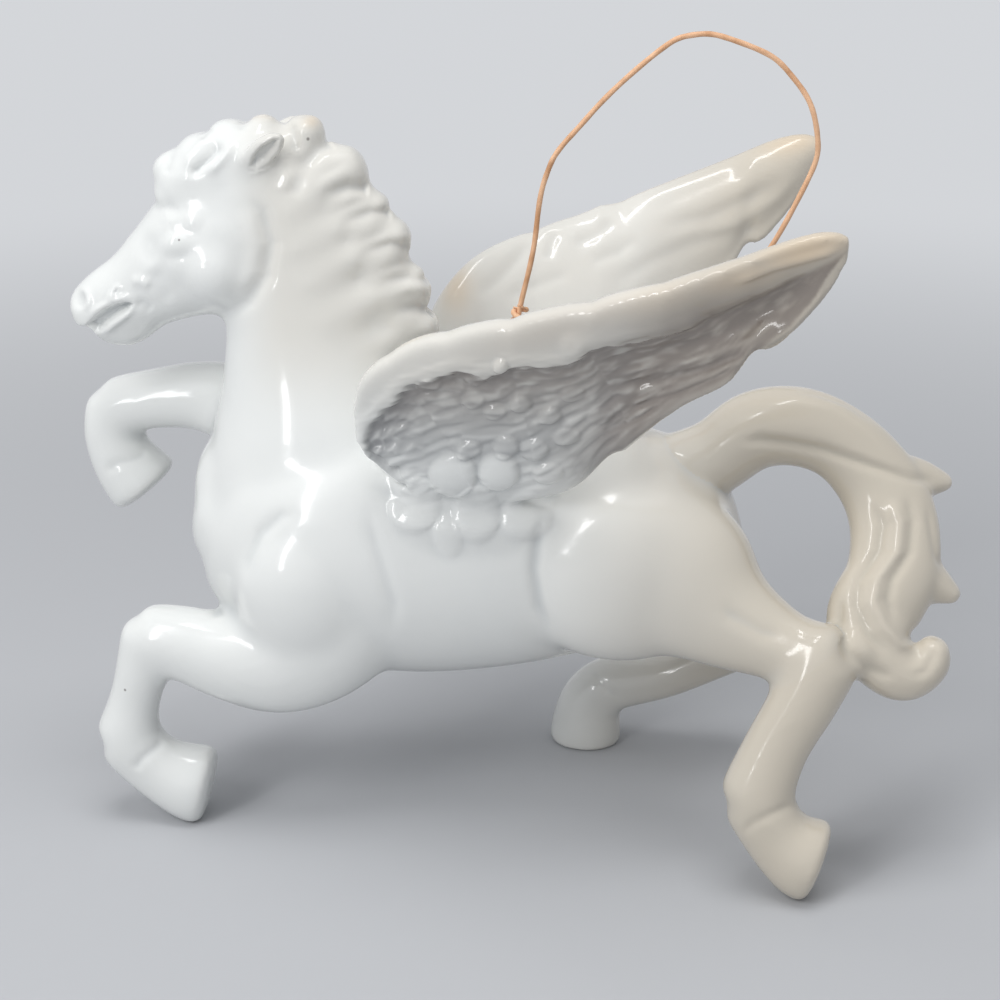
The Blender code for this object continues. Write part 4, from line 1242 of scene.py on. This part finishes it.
# %% Cut the strands between the guides
strand_draws = np.random.default_rng(11)
STRAND_ROWS = 13
LAST_START, LAST_END = 0.56, 0.64
STRAND_RADII = (3, 2.4)
STRAND_DEPTH, DEPTH_IN_LUMPS = -0.32, -0.2
FEATHER_TURN = -10
strand_count = 0
for row in range(STRAND_ROWS):
    across = (row + 0.6) / (STRAND_ROWS + 0.4)
    start = strand_draws.uniform(0.02, 0.1)
    while start < LAST_START:
        length = strand_draws.uniform(0.06, 0.14)
        shift = strand_draws.uniform(-0.03, 0.03)
        wave, phase = strand_draws.uniform(0.4, 2.0), strand_draws.uniform(0, 6)
        line = strand(across + shift, start, min(start + length, LAST_END), wave, phase)
        in_lumps = 0.12 < start < 0.34 and across > 0.62
        carve(outer_face, line, STRAND_RADII, DEPTH_IN_LUMPS if in_lumps else STRAND_DEPTH, 0.4)
        start += length * strand_draws.uniform(0.8, 1.05)
        strand_count += 1
SMALL_LUMPS = 60
LUMP_HEIGHT = 0.22
for _ in range(SMALL_LUMPS):
    across, along = strand_draws.uniform(0.1, 0.85), strand_draws.uniform(0.05, 0.55)
    spot = strand(across, along, along, 0, 0)[0]
    radii = (strand_draws.uniform(5, 10), strand_draws.uniform(3, 5))
    swell(outer_face, spot, radii, LUMP_HEIGHT, FEATHER_TURN)
print("strands:", strand_count, "small lumps:", SMALL_LUMPS)

# %% Cut the long furrows to the tip
LONG_FURROWS = [
    ([(598, 366), (649, 358), (700, 346), (745, 328), (790, 300)], 7, -0.7),
    ([(610, 392), (649, 386), (702, 372), (752, 350)], 4.5, -0.7),
    ([(618, 414), (643, 407), (678, 396), (716, 380), (748, 362)], 4, -0.6),
    ([(604, 380), (650, 372), (700, 360), (740, 345), (768, 328)], 3.4, 0.25),
    ([(600, 436), (630, 424), (660, 408)], 3.6, -0.5),
    ([(684, 324), (730, 318), (780, 306), (818, 280)], 14, -0.8),
    ([(849, 247), (813, 256), (770, 268), (728, 285)], 4.5, 0.6),
    ([(828, 284), (812, 306), (792, 328), (756, 351)], 3, 0.3),
    ([(742, 372), (716, 388), (686, 401), (655, 423)], 3, 0.3),
]
for line, radius, depth in LONG_FURROWS:
    carve(outer_face, line, radius, depth, 0.2)
print("long furrows:", len(LONG_FURROWS), "deepest", relief.min().round(2), "mm")

# %% [markdown]
# Coverts are the short round feathers over the root of a wing. Here they are small discs of
# clay, each with a crease round its foot. The two largest lie on clay that is wiped smooth.

# %% Press on the round coverts
COVERTS = [
    (452, 478, 25, 23, 1.5), (498, 475, 21, 20, 1.4), (414, 507, 26, 26, 1.0), (476, 515, 24, 27, 1.0),
    (527, 518, 26, 22, 1.0), (448, 536, 14, 22, 0.6), (468, 453, 13, 9, 0.9), (505, 450, 14, 11, 1.0),
    (549, 419, 12, 9, 0.9), (520, 408, 12, 9, 0.7), (494, 416, 12, 8, 0.7), (472, 404, 12, 9, 0.6),
    (474, 383, 12, 8, 0.6), (427, 388, 13, 9, 0.7), (534, 453, 15, 11, 0.8), (566, 440, 15, 9, 0.7),
    (548, 477, 16, 11, 0.8), (572, 398, 13, 8, 0.5), (600, 420, 14, 8, 0.4),
]
WIPED = 2
for across, down, wide, high, _ in COVERTS[:WIPED]:
    for chosen, places, facing in feathered:
        kept = smooth_step(reach_from(places, (across, down), (wide, high)) / 0.8 - 0.25)
        relief[chosen] = plain_relief[chosen] + (relief[chosen] - plain_relief[chosen]) * kept
        streak_mark[chosen] *= kept
carve(outer_root, [(384, 500), (420, 524), (475, 534), (530, 526), (572, 498)], 17, 1.0, 0.25)
for across, down, wide, high, height in COVERTS:
    swell(outer_root, (across, down), (wide, high), height, FEATHER_TURN, creased=True)
swell(outer_face, (501, 366), (8, 8), 0.9, creased=True)
swell(outer_face, (574, 346), (13, 12), 0.7)
swell(outer_root, (405, 484), (9, 9), 0.8)
print("coverts on each wing:", len(COVERTS))

# %% [markdown]
# The inner face is plainer: shallow slanting furrows between broad flat feathers, and one fold
# that runs out to the tip.

# %% Carve the wings' inner faces
inner_face = both_sides(["right_wing"], ["left_wing"])
INNER_FURROWS = [
    ([(547, 262), (551, 246), (557, 230)], 6, -0.35),
    ([(570, 246), (594, 236), (618, 218)], 7, -0.4),
    ([(586, 264), (618, 252), (640, 236)], 7, -0.35),
    ([(652, 228), (708, 217), (750, 198), (788, 176)], 9, -0.55),
    ([(604, 290), (650, 262), (700, 240), (738, 226)], 9, -0.4),
    ([(644, 212), (700, 188), (756, 164)], 10, -0.3),
    ([(474, 300), (500, 278), (520, 256), (532, 236)], 8, -0.4),
    ([(500, 300), (540, 284), (576, 270)], 7, -0.3),
    ([(690, 240), (736, 224), (776, 198), (804, 166)], 7, 0.3),
]
for line, radius, depth in INNER_FURROWS:
    carve(inner_face, line, radius, depth, 0.25)
print("furrows on each inner face:", len(INNER_FURROWS))

# %% [markdown]
# All the carving was only noted down so far. Now the clay moves, a slow wave makes the surface
# hand made, and the edge where the wing's foot meets the flank is sponged once more.

# %% Move the clay and soften the tool marks
WAVE_SIZE = 14
WAVE_HEIGHT = 0.12
relief[in_tunnel] = 0
skin = skin + normals * relief[:, None]
hand_made = np.array([noise.noise(Vector(point) / WAVE_SIZE) for point in skin])
skin = skin + normals * (WAVE_HEIGHT * hand_made * ~in_tunnel)[:, None]
skin = soften(skin, pairs, 2, np.where(in_tunnel, 0.0, 1.0))
WING_SEAM = [
    (356, 446), (372, 470), (392, 484), (420, 494), (475, 498), (540, 494), (562, 480), (580, 488),
    (560, 508), (500, 522), (440, 520), (396, 512), (364, 490),
]
WING_SEAM_STEPS = 10
seam = np.zeros(len(skin))
for chosen, places, facing in outer_root:
    seam[chosen[inside(WING_SEAM, places)]] = 1
seam = soften_zone(seam[:, None], pairs, 4, np.ones(len(skin)))[:, 0]
skin = soften_zone(skin, pairs, WING_SEAM_STEPS, np.where(seam > HARDLY_WET, seam, 0))
skin[:, 2] = skin[:, 2].clip(0)
normals = normals_of(skin, quads)
print("skin from", skin.min(axis=0).round(2), "to", skin.max(axis=0).round(2))

# %% [markdown]
# ## What the glaze does
#
# Glaze is thick and bluish in hollows, thin and tan on sharp edges, and the back half of this
# horse fired a little warmer than the front. Its cream tone is darker too, which paints shade onto
# the rear, away from the light at the front. These are measured on the mesh: comparing the skin
# with a much smoother copy shows which points lie in a hollow and which on a ridge.

# %% Measure hollows, thin edges, and the cream and painted shade of the rear
HOLLOW_SCALE_STEPS = 36
FULL_POOL = 0.55
THIN_FROM, THIN_OVER = 0.25, 1.2
CREAM_AND_SHADE_FROM, CREAM_AND_SHADE_OVER = -2, 62
NECK_WARMTH = 0.45
NECK_BACK, NECK_BACK_OVER = -56, 14
NECK_HIGH, NECK_HIGH_OVER = 88, 26
smoother = soften(skin, pairs, HOLLOW_SCALE_STEPS)
hollow_depth = ((smoother - skin) * normals).sum(axis=1)
pooled = (hollow_depth / FULL_POOL).clip(0, 1)
thin = ((-hollow_depth - THIN_FROM) / THIN_OVER).clip(0, 1)
warm_neck = smooth_step((skin[:, 0] - NECK_BACK) / NECK_BACK_OVER)
warm_neck = warm_neck * smooth_step((skin[:, 2] - NECK_HIGH) / NECK_HIGH_OVER)
# the rear's warmer glaze, which also paints shade there: its tone is darker than the clean white
cream_and_shade = np.maximum(smooth_step((skin[:, 0] - CREAM_AND_SHADE_FROM) / CREAM_AND_SHADE_OVER), NECK_WARMTH * warm_neck)
print("deepest hollow", hollow_depth.max().round(2), "highest edge", -hollow_depth.min().round(2), "mm")

# %% [markdown]
# Two more marks come from the photograph: tan patches where the glaze ran thin, on the hair and
# along the wings, and painted shade in the carved field of the feathers, darkest under the band
# and on the wing's rear. Streaks, edges and coverts stand out into the light and get less painted
# shade.

# %% Lay the tan patches
tan = np.zeros(len(skin))


def tint(mark, canvases, centre, radii, amount, turn=0):
    """Raise a mark to an amount in the middle of an oval, and less away from it."""
    for chosen, places, _ in canvases:
        reach = reach_from(places, centre, radii, turn)
        mark[chosen] = np.maximum(mark[chosen], amount * np.exp(-reach))


TAN_PATCHES = [
    (hair, (311, 122), (8, 7), 0.6),
    (hair, (262, 114), (26, 6), 0.3),
    (outer_face, (806, 250), (50, 13), 1.0, -16),
    (outer_face, (742, 277), (60, 14), 0.6, -16),
    (outer_face, (655, 300), (90, 18), 0.4, -14),
    (outer_face, (560, 325), (90, 22), 0.22, -14),
    (inner_face, (794, 142), (32, 12), 0.7, -12),
    (inner_face, (456, 288), (16, 26), 0.7),
]
for patch in TAN_PATCHES:
    tint(tan, *patch)
print("tan patches:", len(TAN_PATCHES))

# %% Paint shade into the carved field
LIT_COVERTS = 6
DEEP_SHADE, DEEP_REACH = 0.28, 34
EDGE_LIT, STREAK_LIT, COVERT_LIT = 0.55, 0.5, 0.7
# painted shade in the carved field: darkest just under the band, where its shadow falls
shaded_field = np.zeros(len(skin))
for (chosen, places, _), (below, _, _) in zip(feathered, fields):
    foot = smooth_step((places[:, 0] - 560) / 60) + (1 - smooth_step((places[:, 1] - 446) / 56))
    under_band = 0.72 + DEEP_SHADE * np.exp(-((below / DEEP_REACH) ** 2))
    under_band = np.maximum(under_band, smooth_step((places[:, 0] - 550) / 60))
    painted = smooth_step((below + 2) / 10) * foot.clip(0, 1) * under_band
    shaded_field[chosen] = painted * wing_share[chosen]
# painted shade on the rear of the wing's outer face, which is turned down, away from the light
tint(shaded_field, outer_face, (716, 330), (130, 42), 1.0, -19)
tint(shaded_field, outer_face, (722, 300), (125, 26), 0.35, -17)
tint(shaded_field, outer_face, (570, 330), (110, 24), 0.25, -14)
# raised edges, streaks and the first coverts stand out into the light, so they get less painted shade
shaded_field *= 1 - EDGE_LIT * (-hollow_depth / 0.4).clip(0, 1)
shaded_field *= 1 - STREAK_LIT * streak_mark.clip(0, 1)
for across, down, wide, high, _ in COVERTS[:LIT_COVERTS]:
    for chosen, places, _ in feathered:
        reach = reach_from(places, (across, down), (wide, high))
        shaded_field[chosen] *= 1 - COVERT_LIT * smooth_step(1.2 - reach)
# a painted shadow of the wing on the lower coverts and the flank under them
tint(shaded_field, outer_root, (470, 518), (95, 34), 0.2)
pooled *= 1 - 0.5 * shaded_field
shaded_field = soften(shaded_field[:, None], pairs, 2)[:, 0]
marks = {"pooled": pooled, "thin": thin, "cream_and_shade": cream_and_shade, "tan": tan, "field": shaded_field}
for name, values in marks.items():
    print(name, "mean", values.mean().round(3))

# %% [markdown]
# ## Parting the skin
#
# The skin is parted into the CAD model's named pieces. Each piece keeps the normals of the whole
# skin, so that the glaze runs over the seams without a line, and every open edge is closed inside
# the clay, where it can't be seen.

# %% Make the named pieces
RIM_DEPTH = 1.2
WARM_PIECES = ("tail", "left_hind_leg")


def closed_piece(name, chosen):
    """One piece of the skin as an object, closed inside, with the skin's normals and marks."""
    corners = quads[chosen]
    used, back = np.unique(corners, return_inverse=True)
    corners = back.reshape(corners.shape)
    faces = [tuple(f) if f[0] != f[3] else tuple(f[:3]) for f in corners.tolist()]
    obj = mesh_object(name, skin[used] + STAND, faces)
    bm = bmesh.new()
    bm.from_mesh(obj.data)
    ends = {edge for edge in bm.edges if edge.is_boundary}
    caps = 0
    while ends:
        loop = {in_order(ends)[0]}
        ends -= loop
        to_visit = list(loop)
        while to_visit:
            near = {e for vert in to_visit.pop().verts for e in vert.link_edges} & ends
            ends -= near
            loop |= near
            to_visit.extend(near)
        rim = sorted({vert for edge in loop for vert in edge.verts}, key=lambda vert: vert.index)
        sunk = {}
        for vert in rim:
            inward = Vector(normals[used[vert.index]]) * -RIM_DEPTH * MM
            sunk[vert] = bm.verts.new(vert.co + inward)
        middle = bm.verts.new(sum((vert.co for vert in sunk.values()), Vector()) / len(sunk))
        for edge in in_order(loop):
            first, second = edge.verts
            if edge.link_loops[0].vert == first:
                first, second = second, first
            low, high = sunk[first], sunk[second]
            bm.faces.new((first, second, high, low))
            bm.faces.new((low, high, middle))
        caps += 1
    bm.to_mesh(obj.data)
    bm.free()
    extra = len(obj.data.vertices) - len(used)
    shading = np.concatenate([normals[used], np.tile((0.0, 0.0, 1.0), (extra, 1))])
    obj.data.shade_smooth()
    obj.data.normals_split_custom_set_from_vertices(shading.tolist())
    for mark, values in marks.items():
        layer = obj.data.attributes.new(mark, "FLOAT", "POINT")
        layer.data.foreach_set("value", np.concatenate([values[used], np.zeros(extra)]).astype(np.float32))
    print(name, len(obj.data.polygons), "faces,", caps, "closed edges")
    return obj


porcelain = {}
for index, piece in enumerate(PIECES):
    obj = closed_piece("glazed_" + piece, face_names == index)
    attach(obj, "figure")
    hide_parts(piece)
    porcelain[piece] = obj

# %% [markdown]
# ## The hanger
#
# One length of thin coated wire. Each end goes once round in its tunnel and is wound up its own
# stem; the front end shows above the wing as a small frayed knot. The wire was bent by hand, so
# it has a kink near the top of each leg and never runs quite straight.

# %% Bend the wire
TWIST_CLEARANCE = 0.15
TWIST_PITCH = 2.0
TWIST_START = 2.6
EYE_OPEN_ANGLE = math.radians(50)
FRONT_TURNS = 7
REAR_TURNS = 2
FRAYED_ENDS = 7
FRAY_RADIUS = 0.17
SWAY_ACROSS, SWAY_ALONG = 0.35, 0.2
BAIL = [
    (4, 0, 113),
    (7, 0, 128),
    (9, 0, 141),
    (12.5, 0, 147.5),
    (19, 0, 155),
    (31, 0, 166.5),
    (38, 0, 169.6),
    (45, 0, 169),
    (54, 0, 165),
    (59.5, 0, 159),
    (62.8, 0, 151),
    (61.5, 0, 142),
    (54.5, 0, 128),
    (44, 0, 112),
]


def wound_eye(centre, stem_point, turns):
    """From the free end: wound down round the stem, once round the eye, and up the stem."""
    top = centre + EYE_RADIUS * eye_lift
    stem = unit(np.array(stem_point, float) - top)
    outward = unit(swing_axis - stem * (swing_axis @ stem))
    apart = WIRE_DIAMETER + TWIST_CLEARANCE
    points = []
    for angle in np.linspace(2 * math.pi * turns, 0, turns * 22, endpoint=False):
        height = TWIST_START + TWIST_PITCH * (angle / (2 * math.pi) - 1)
        around = apart * (outward * math.cos(angle) - eye_side * math.sin(angle))
        points.append(top + stem * max(height, 0.0) + around)
    for angle in np.linspace(0, 2 * math.pi - EYE_OPEN_ANGLE, 44):
        drift = apart * 0.5 * (1 + math.cos(math.pi * min(1.0, angle / EYE_OPEN_ANGLE)))
        ring = centre + EYE_RADIUS * (math.cos(angle) * eye_lift + math.sin(angle) * eye_side)
        points.append(ring + swing_axis * drift)
    points.append(top + stem * TWIST_START)
    return points


front_part = wound_eye(eye_centres[0], BAIL[0], FRONT_TURNS)
rear_part = wound_eye(eye_centres[1], BAIL[-1], REAR_TURNS)[::-1]
arch = curve_through([front_part[-1], *BAIL, rear_part[0]], 240)
share = np.linspace(0, 1, len(arch))
unsteady = np.sin(share * math.pi) ** 0.5
arch[:, 1] += SWAY_ACROSS * unsteady * np.sin(share * 41 + 1)
arch[:, 0] += SWAY_ALONG * unsteady * np.sin(share * 67)
wire_path = np.array([*front_part[:-1], *arch, *rear_part[1:]])
coating = WIRE_DIAMETER / 2 * (1 + 0.03 * np.sin(np.arange(len(wire_path)) * 0.9))
wire_points, wire_faces = tube(wire_path, coating, 16)
fray_draws = np.random.default_rng(5)
wire_parts = [(wire_points, wire_faces)]
for _ in range(FRAYED_ENDS):
    lean = unit(np.array((-1.0, -0.4, 0.5)) + fray_draws.uniform(-0.7, 0.7, 3))
    bend = fray_draws.uniform(-0.8, 0.8, 3)
    steps = np.linspace(0, fray_draws.uniform(1.4, 2.6), 8)[:, None]
    wire_parts.append(tube(wire_path[0] + steps * lean + 0.12 * steps**2 * bend, FRAY_RADIUS, 6))
wire_points, wire_faces = joined(wire_parts)
hanger = mesh_object("coated_hanger_wire", wire_points + STAND, wire_faces)
face_outward(hanger.data)
hanger.data.shade_smooth()
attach(hanger, "hanger")
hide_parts("wire_hanger")
wire_length = np.linalg.norm(np.diff(wire_path, axis=0), axis=1).sum()
print("wire length", round(float(wire_length)), "mm")


# %% [markdown]
# ## Glaze
#
# A glaze is glass on clay: white or cream underneath, and a clear, slightly uneven gloss on top.
# The colour follows the marks measured above. `GlazeTone` is a node group, because both the
# cooler front and the warmer back use it with their own colours. It gives out a colour and a
# height; the shader itself stays in each material.

# %% Node helpers
def set_inputs(tree, node, inputs):
    """Each input is given by name or number, as a value to set or a socket to link."""
    for name, given in inputs.items():
        if isinstance(given, bpy.types.NodeSocket):
            tree.links.new(given, node.inputs[name])
        else:
            node.inputs[name].default_value = given


def add_node(tree, kind, place, inputs=None, **settings):
    node = tree.nodes.new(kind)
    node.location = place
    for name, value in settings.items():
        setattr(node, name, value)
    set_inputs(tree, node, inputs or {})
    return node


def blended(tree, place, factor, first, second):
    """A colour mix; each of the three is a socket to link or a value to set."""
    inputs = {0: factor, 6: first, 7: second}
    return add_node(tree, "ShaderNodeMix", place, inputs, data_type="RGBA").outputs[2]


def scaled(tree, place, socket, factor):
    inputs = {0: socket, 1: factor}
    times = add_node(tree, "ShaderNodeMath", place, inputs, operation="MULTIPLY", use_clamp=True)
    return times.outputs[0]


def new_material(name):
    """A material with its node tree and its shader."""
    material = bpy.data.materials.new(name)
    material.use_nodes = True
    return material, material.node_tree, material.node_tree.nodes["Principled BSDF"]


# %% The glaze's group
TONES = ("Clean", "Cream and shade", "Pooled", "Thin", "Tan", "Painted field shade", "Painted rear shade")
CLOUDS = {"Scale": 70, "Detail": 3}
RIPPLES = {"Scale": 160, "Detail": 2}
REAR_SHARE = 1.9
PINHOLE_COLOUR = (0.12, 0.1, 0.09, 1)
PINHOLE_STRENGTH = 0.75
PINHOLE_CORE = 0.4


def make_glaze_group(pinholes):
    """The glaze's colour, tone laid over tone by the marks, and the height of its ripples."""
    group = bpy.data.node_groups.new("GlazeTone", "ShaderNodeTree")
    for name in TONES:
        group.interface.new_socket(name, in_out="INPUT", socket_type="NodeSocketColor")
    group.interface.new_socket("Colour", in_out="OUTPUT", socket_type="NodeSocketColor")
    group.interface.new_socket("Height", in_out="OUTPUT", socket_type="NodeSocketFloat")
    tone = add_node(group, "NodeGroupInput", (-1200, 0)).outputs
    mark = {}
    for row, name in enumerate(marks):
        node = add_node(group, "ShaderNodeAttribute", (-1200, -220 - 160 * row), attribute_name=name)
        mark[name] = node.outputs["Fac"]
    place = add_node(group, "ShaderNodeTexCoord", (-1200, 300)).outputs["Object"]
    cloud = add_node(group, "ShaderNodeTexNoise", (-900, 300), {"Vector": place, **CLOUDS})
    ripple = add_node(group, "ShaderNodeTexNoise", (-900, 600), {"Vector": place, **RIPPLES})
    # the field tones are painted shade in the carved feathers, browner towards the rear
    rear = scaled(group, (-500, -600), mark["cream_and_shade"], REAR_SHARE)
    field_shade_tone = blended(group, (-300, -600), rear, tone["Painted field shade"], tone["Painted rear shade"])
    # the cream tone warms the rear and also darkens it as painted shade
    colour = blended(group, (-700, 0), mark["cream_and_shade"], tone["Clean"], tone["Cream and shade"])
    # the field layer lays the painted shade over the carved feathers
    layers = [
        (cloud.outputs["Fac"], 0.14, tone["Pooled"]),
        (mark["pooled"], 0.75, tone["Pooled"]),
        (mark["field"], 0.9, field_shade_tone),
        (mark["thin"], 0.5, tone["Thin"]),
        (mark["tan"], 0.75, tone["Tan"]),
    ]
    for column, (mask, strength, over) in enumerate(layers):
        amount = scaled(group, (-700 + 200 * column, -300), mask, strength)
        colour = blended(group, (-500 + 200 * column, 0), amount, colour, over)
    for row, (centre, radius) in enumerate(pinholes):
        ends = {0: place, 1: Vector(centre) * MM}
        near = add_node(group, "ShaderNodeVectorMath", (0, 500 + 160 * row), ends, operation="DISTANCE")
        limits = {
            "Value": near.outputs["Value"],
            "From Min": radius * MM,
            "From Max": radius * PINHOLE_CORE * MM,
            "To Max": PINHOLE_STRENGTH,
        }
        spot = add_node(group, "ShaderNodeMapRange", (200, 500 + 160 * row), limits)
        colour = blended(group, (500 + 60 * row, 0), spot.outputs["Result"], colour, PINHOLE_COLOUR)
    add_node(group, "NodeGroupOutput", (900, 0), {"Colour": colour, "Height": ripple.outputs["Fac"]})
    return group


# %% [markdown]
# The photograph shows a few dark pinholes, where a gas bubble burst through the glaze. Each is
# found by looking from the camera through its place in the picture to the skin behind it.

# %% Find the pinholes on the skin
PINHOLES = [
    ((308, 139), 0.45), ((179, 240), 0.32), ((125, 690), 0.4), ((165, 795), 0.35), ((752, 149), 0.3),
]
skin_tree = BVHTree.FromPolygons([Vector(p) for p in skin + STAND], [tuple(f) for f in quads[:, :3]])
pinholes = []
for (across, down), radius in PINHOLES:
    ray = FORWARD + RIGHT * (across - PICTURE / 2) / FOCAL + UP * (PICTURE / 2 - down) / FOCAL
    hit = skin_tree.ray_cast(Vector(EYE), Vector(unit(ray)))[0]
    if hit is not None:
        pinholes.append((tuple(hit), radius))
print("pinholes found:", len(pinholes))

# %% Make the two porcelain finishes
glaze_group = make_glaze_group(pinholes)


def make_porcelain(name, tones, roughness):
    material, tree, shader = new_material(name)
    colours = {socket: (*value, 1) for socket, value in tones.items()}
    tone = add_node(tree, "ShaderNodeGroup", (-700, 200), colours, node_tree=glaze_group).outputs
    relief_inputs = {"Strength": 0.12, "Distance": 0.0004, "Height": tone["Height"]}
    bump = add_node(tree, "ShaderNodeBump", (-300, -200), relief_inputs)
    gloss = {"Roughness": roughness, "IOR": 1.55, "Coat Weight": 0.6, "Coat Roughness": 0.03}
    surface = {"Base Color": tone["Colour"], "Normal": bump.outputs["Normal"]}
    set_inputs(tree, shader, {**surface, **gloss})
    return material


# The cream tone is the rear's warmer glaze, made darker as painted shade; the two field tones are painted
# shade in the carved feathers.
COOL_TONES = {
    "Clean": (0.80, 0.812, 0.795),
    "Cream and shade": (0.60, 0.545, 0.455),
    "Pooled": (0.47, 0.50, 0.51),
    "Thin": (0.83, 0.79, 0.73),
    "Tan": (0.72, 0.565, 0.39),
    "Painted field shade": (0.235, 0.243, 0.253),
    "Painted rear shade": (0.19, 0.16, 0.14),
}
WARM_TONES = {**COOL_TONES, "Pooled": (0.50, 0.465, 0.39), "Thin": (0.80, 0.73, 0.63)}
glaze = make_porcelain("cool_white_glaze", COOL_TONES, 0.16)
warm_glaze = make_porcelain("warm_cream_glaze", WARM_TONES, 0.18)
for piece, obj in porcelain.items():
    obj.data.materials.append(warm_glaze if piece in WARM_PIECES else glaze)
print("nodes in the glaze's group:", len(glaze_group.nodes))

# %% [markdown]
# ## Coated wire
#
# The coating is thin, peach coloured and a little waxy. It is rubbed lighter here and there and
# darker where fingers have held it.

# %% Make the wire's finish
RUBBING = {"Scale": 220, "Detail": 4}
COATING_SHADES = [(0.32, (0.54, 0.28, 0.14, 1)), (0.62, (0.80, 0.49, 0.30, 1))]
coated, tree, shader = new_material("peach_wire_coating")
place = add_node(tree, "ShaderNodeTexCoord", (-1100, 0)).outputs["Object"]
rub = add_node(tree, "ShaderNodeTexNoise", (-900, 0), {"Vector": place, **RUBBING}).outputs["Fac"]
ramp = add_node(tree, "ShaderNodeValToRGB", (-700, 0), {"Fac": rub})
for stop, (position, shade) in zip(ramp.color_ramp.elements, COATING_SHADES):
    stop.position, stop.color = position, shade
scuff = add_node(tree, "ShaderNodeMapRange", (-500, -250), {"Value": rub, "To Min": 0.28, "To Max": 0.5})
set_inputs(tree, shader, {"Base Color": ramp.outputs["Color"], "Roughness": scuff.outputs["Result"]})
hanger.data.materials.append(coated)
print("nodes in the wire's finish:", len(tree.nodes))

# %% [markdown]
# ## Floor, light and camera
#
# A wide pale floor that fades into the room's own pale colour: away from the horse it stops
# reflecting light and glows instead, a painted glow in place of lit floor. Two broad softboxes,
# above and at the front left, give most of the light but no highlights of their own. Two narrow
# ones draw the thin highlights that the photograph shows on the glaze.

# %% Floor
GLOWING_HAZE = (0.64, 0.655, 0.68, 1)
FLOOR_COLOUR = (0.50, 0.51, 0.53, 1)
FLOOR_REACH = 12000
FADE_FROM, FADE_TO = 0.14, 0.7

corners = [(x * FLOOR_REACH, y * FLOOR_REACH, 0) for x, y in ((-1, -1), (1, -1), (1, 1), (-1, 1))]
sheet = mesh_object("paper_floor", corners, [(0, 1, 2, 3)])
paper, tree, shader = new_material("glowing_pale_paper")
place = add_node(tree, "ShaderNodeTexCoord", (-900, 0)).outputs["Object"]
away = add_node(tree, "ShaderNodeVectorMath", (-700, 0), {0: place}, operation="LENGTH")
limits = {"Value": away.outputs["Value"], "From Min": FADE_FROM, "From Max": FADE_TO}
fade = add_node(tree, "ShaderNodeMapRange", (-500, 0), limits, interpolation_type="SMOOTHSTEP")
faded = fade.outputs["Result"]
black = (0, 0, 0, 1)
# painted glow: near the horse the floor reflects light, and farther out its colour fades to black while it
# glows in the haze colour instead
colours = {
    "Base Color": blended(tree, (-300, 0), faded, FLOOR_COLOUR, black),
    "Emission Color": blended(tree, (-300, -250), faded, black, GLOWING_HAZE),
}
set_inputs(tree, shader, {**colours, "Emission Strength": 1, "Roughness": 0.9, "Specular IOR Level": 0.1})
sheet.data.materials.append(paper)
print("the floor fades away from", FADE_FROM, "to", FADE_TO, "m")


# %% Softboxes and the room's light
SOFTBOXES = [
    # name, place and aim in metres, width and length, watts, and whether the glaze reflects it
    ("window_strip", (-0.42, -0.62, 0.42), (0, 0, 0.07), (0.08, 0.6), 1.0, True),
    ("top_strip", (-0.12, -0.2, 0.85), (0, 0, 0.06), (0.06, 0.4), 0.5, True),
    ("overhead", (0.05, -0.12, 0.9), (0, 0, 0.06), (0.5, 0.4), 2.8, False),
    ("front", (-0.5, -0.6, 0.65), (0, 0, 0.07), (0.5, 0.5), 3.1, False),
]
ROOM_COLOUR = (0.96, 0.975, 1, 1)
ROOM_STRENGTH = 0.45

for name, place, aim, size, watts, reflected in SOFTBOXES:
    data = bpy.data.lights.new(name, "AREA")
    data.shape = "RECTANGLE"
    data.size, data.size_y = size
    data.energy = watts
    lamp = bpy.data.objects.new(name, data)
    bpy.context.scene.collection.objects.link(lamp)
    lamp.location = place
    lamp.rotation_euler = (Vector(aim) - Vector(place)).to_track_quat("-Z", "Y").to_euler()
    lamp.visible_glossy = reflected

world = bpy.data.worlds.new("room")
bpy.context.scene.world = world
world.use_nodes = True
tree = world.node_tree
room = tree.nodes["Background"]
set_inputs(tree, room, {"Color": ROOM_COLOUR, "Strength": ROOM_STRENGTH})
shown = add_node(tree, "ShaderNodeBackground", (0, -150), {"Color": GLOWING_HAZE})
rays = add_node(tree, "ShaderNodeLightPath", (-600, 300)).outputs
sees_haze = rays["Is Camera Ray"]
for column, kind in enumerate(("Is Glossy Ray", "Is Transmission Ray")):
    either = {0: sees_haze, 1: rays[kind]}
    larger = add_node(tree, "ShaderNodeMath", (-300 + 200 * column, 300), either, operation="MAXIMUM")
    sees_haze = larger.outputs[0]
choice = {0: sees_haze, 1: room.outputs[0], 2: shown.outputs[0]}
mix = add_node(tree, "ShaderNodeMixShader", (200, 0), choice)
set_inputs(tree, tree.nodes["World Output"], {0: mix.outputs[0]})
print("softboxes:", len(SOFTBOXES))

# %% Camera
SENSOR_WIDTH = 36
camera_data = bpy.data.cameras.new("camera")
camera_data.sensor_width = SENSOR_WIDTH
camera_data.lens = SENSOR_WIDTH * FOCAL / PICTURE
camera_data.clip_start, camera_data.clip_end = 0.01, 20
camera = bpy.data.objects.new("camera", camera_data)
bpy.context.scene.collection.objects.link(camera)
camera.location = Vector(EYE) * MM
camera.rotation_euler = Vector(FORWARD).to_track_quat("-Z", "Y").to_euler()
bpy.context.scene.camera = camera
bpy.context.scene.view_settings.view_transform = "Standard"
print("camera at", [round(value, 4) for value in camera.location], "lens", round(camera_data.lens, 1))
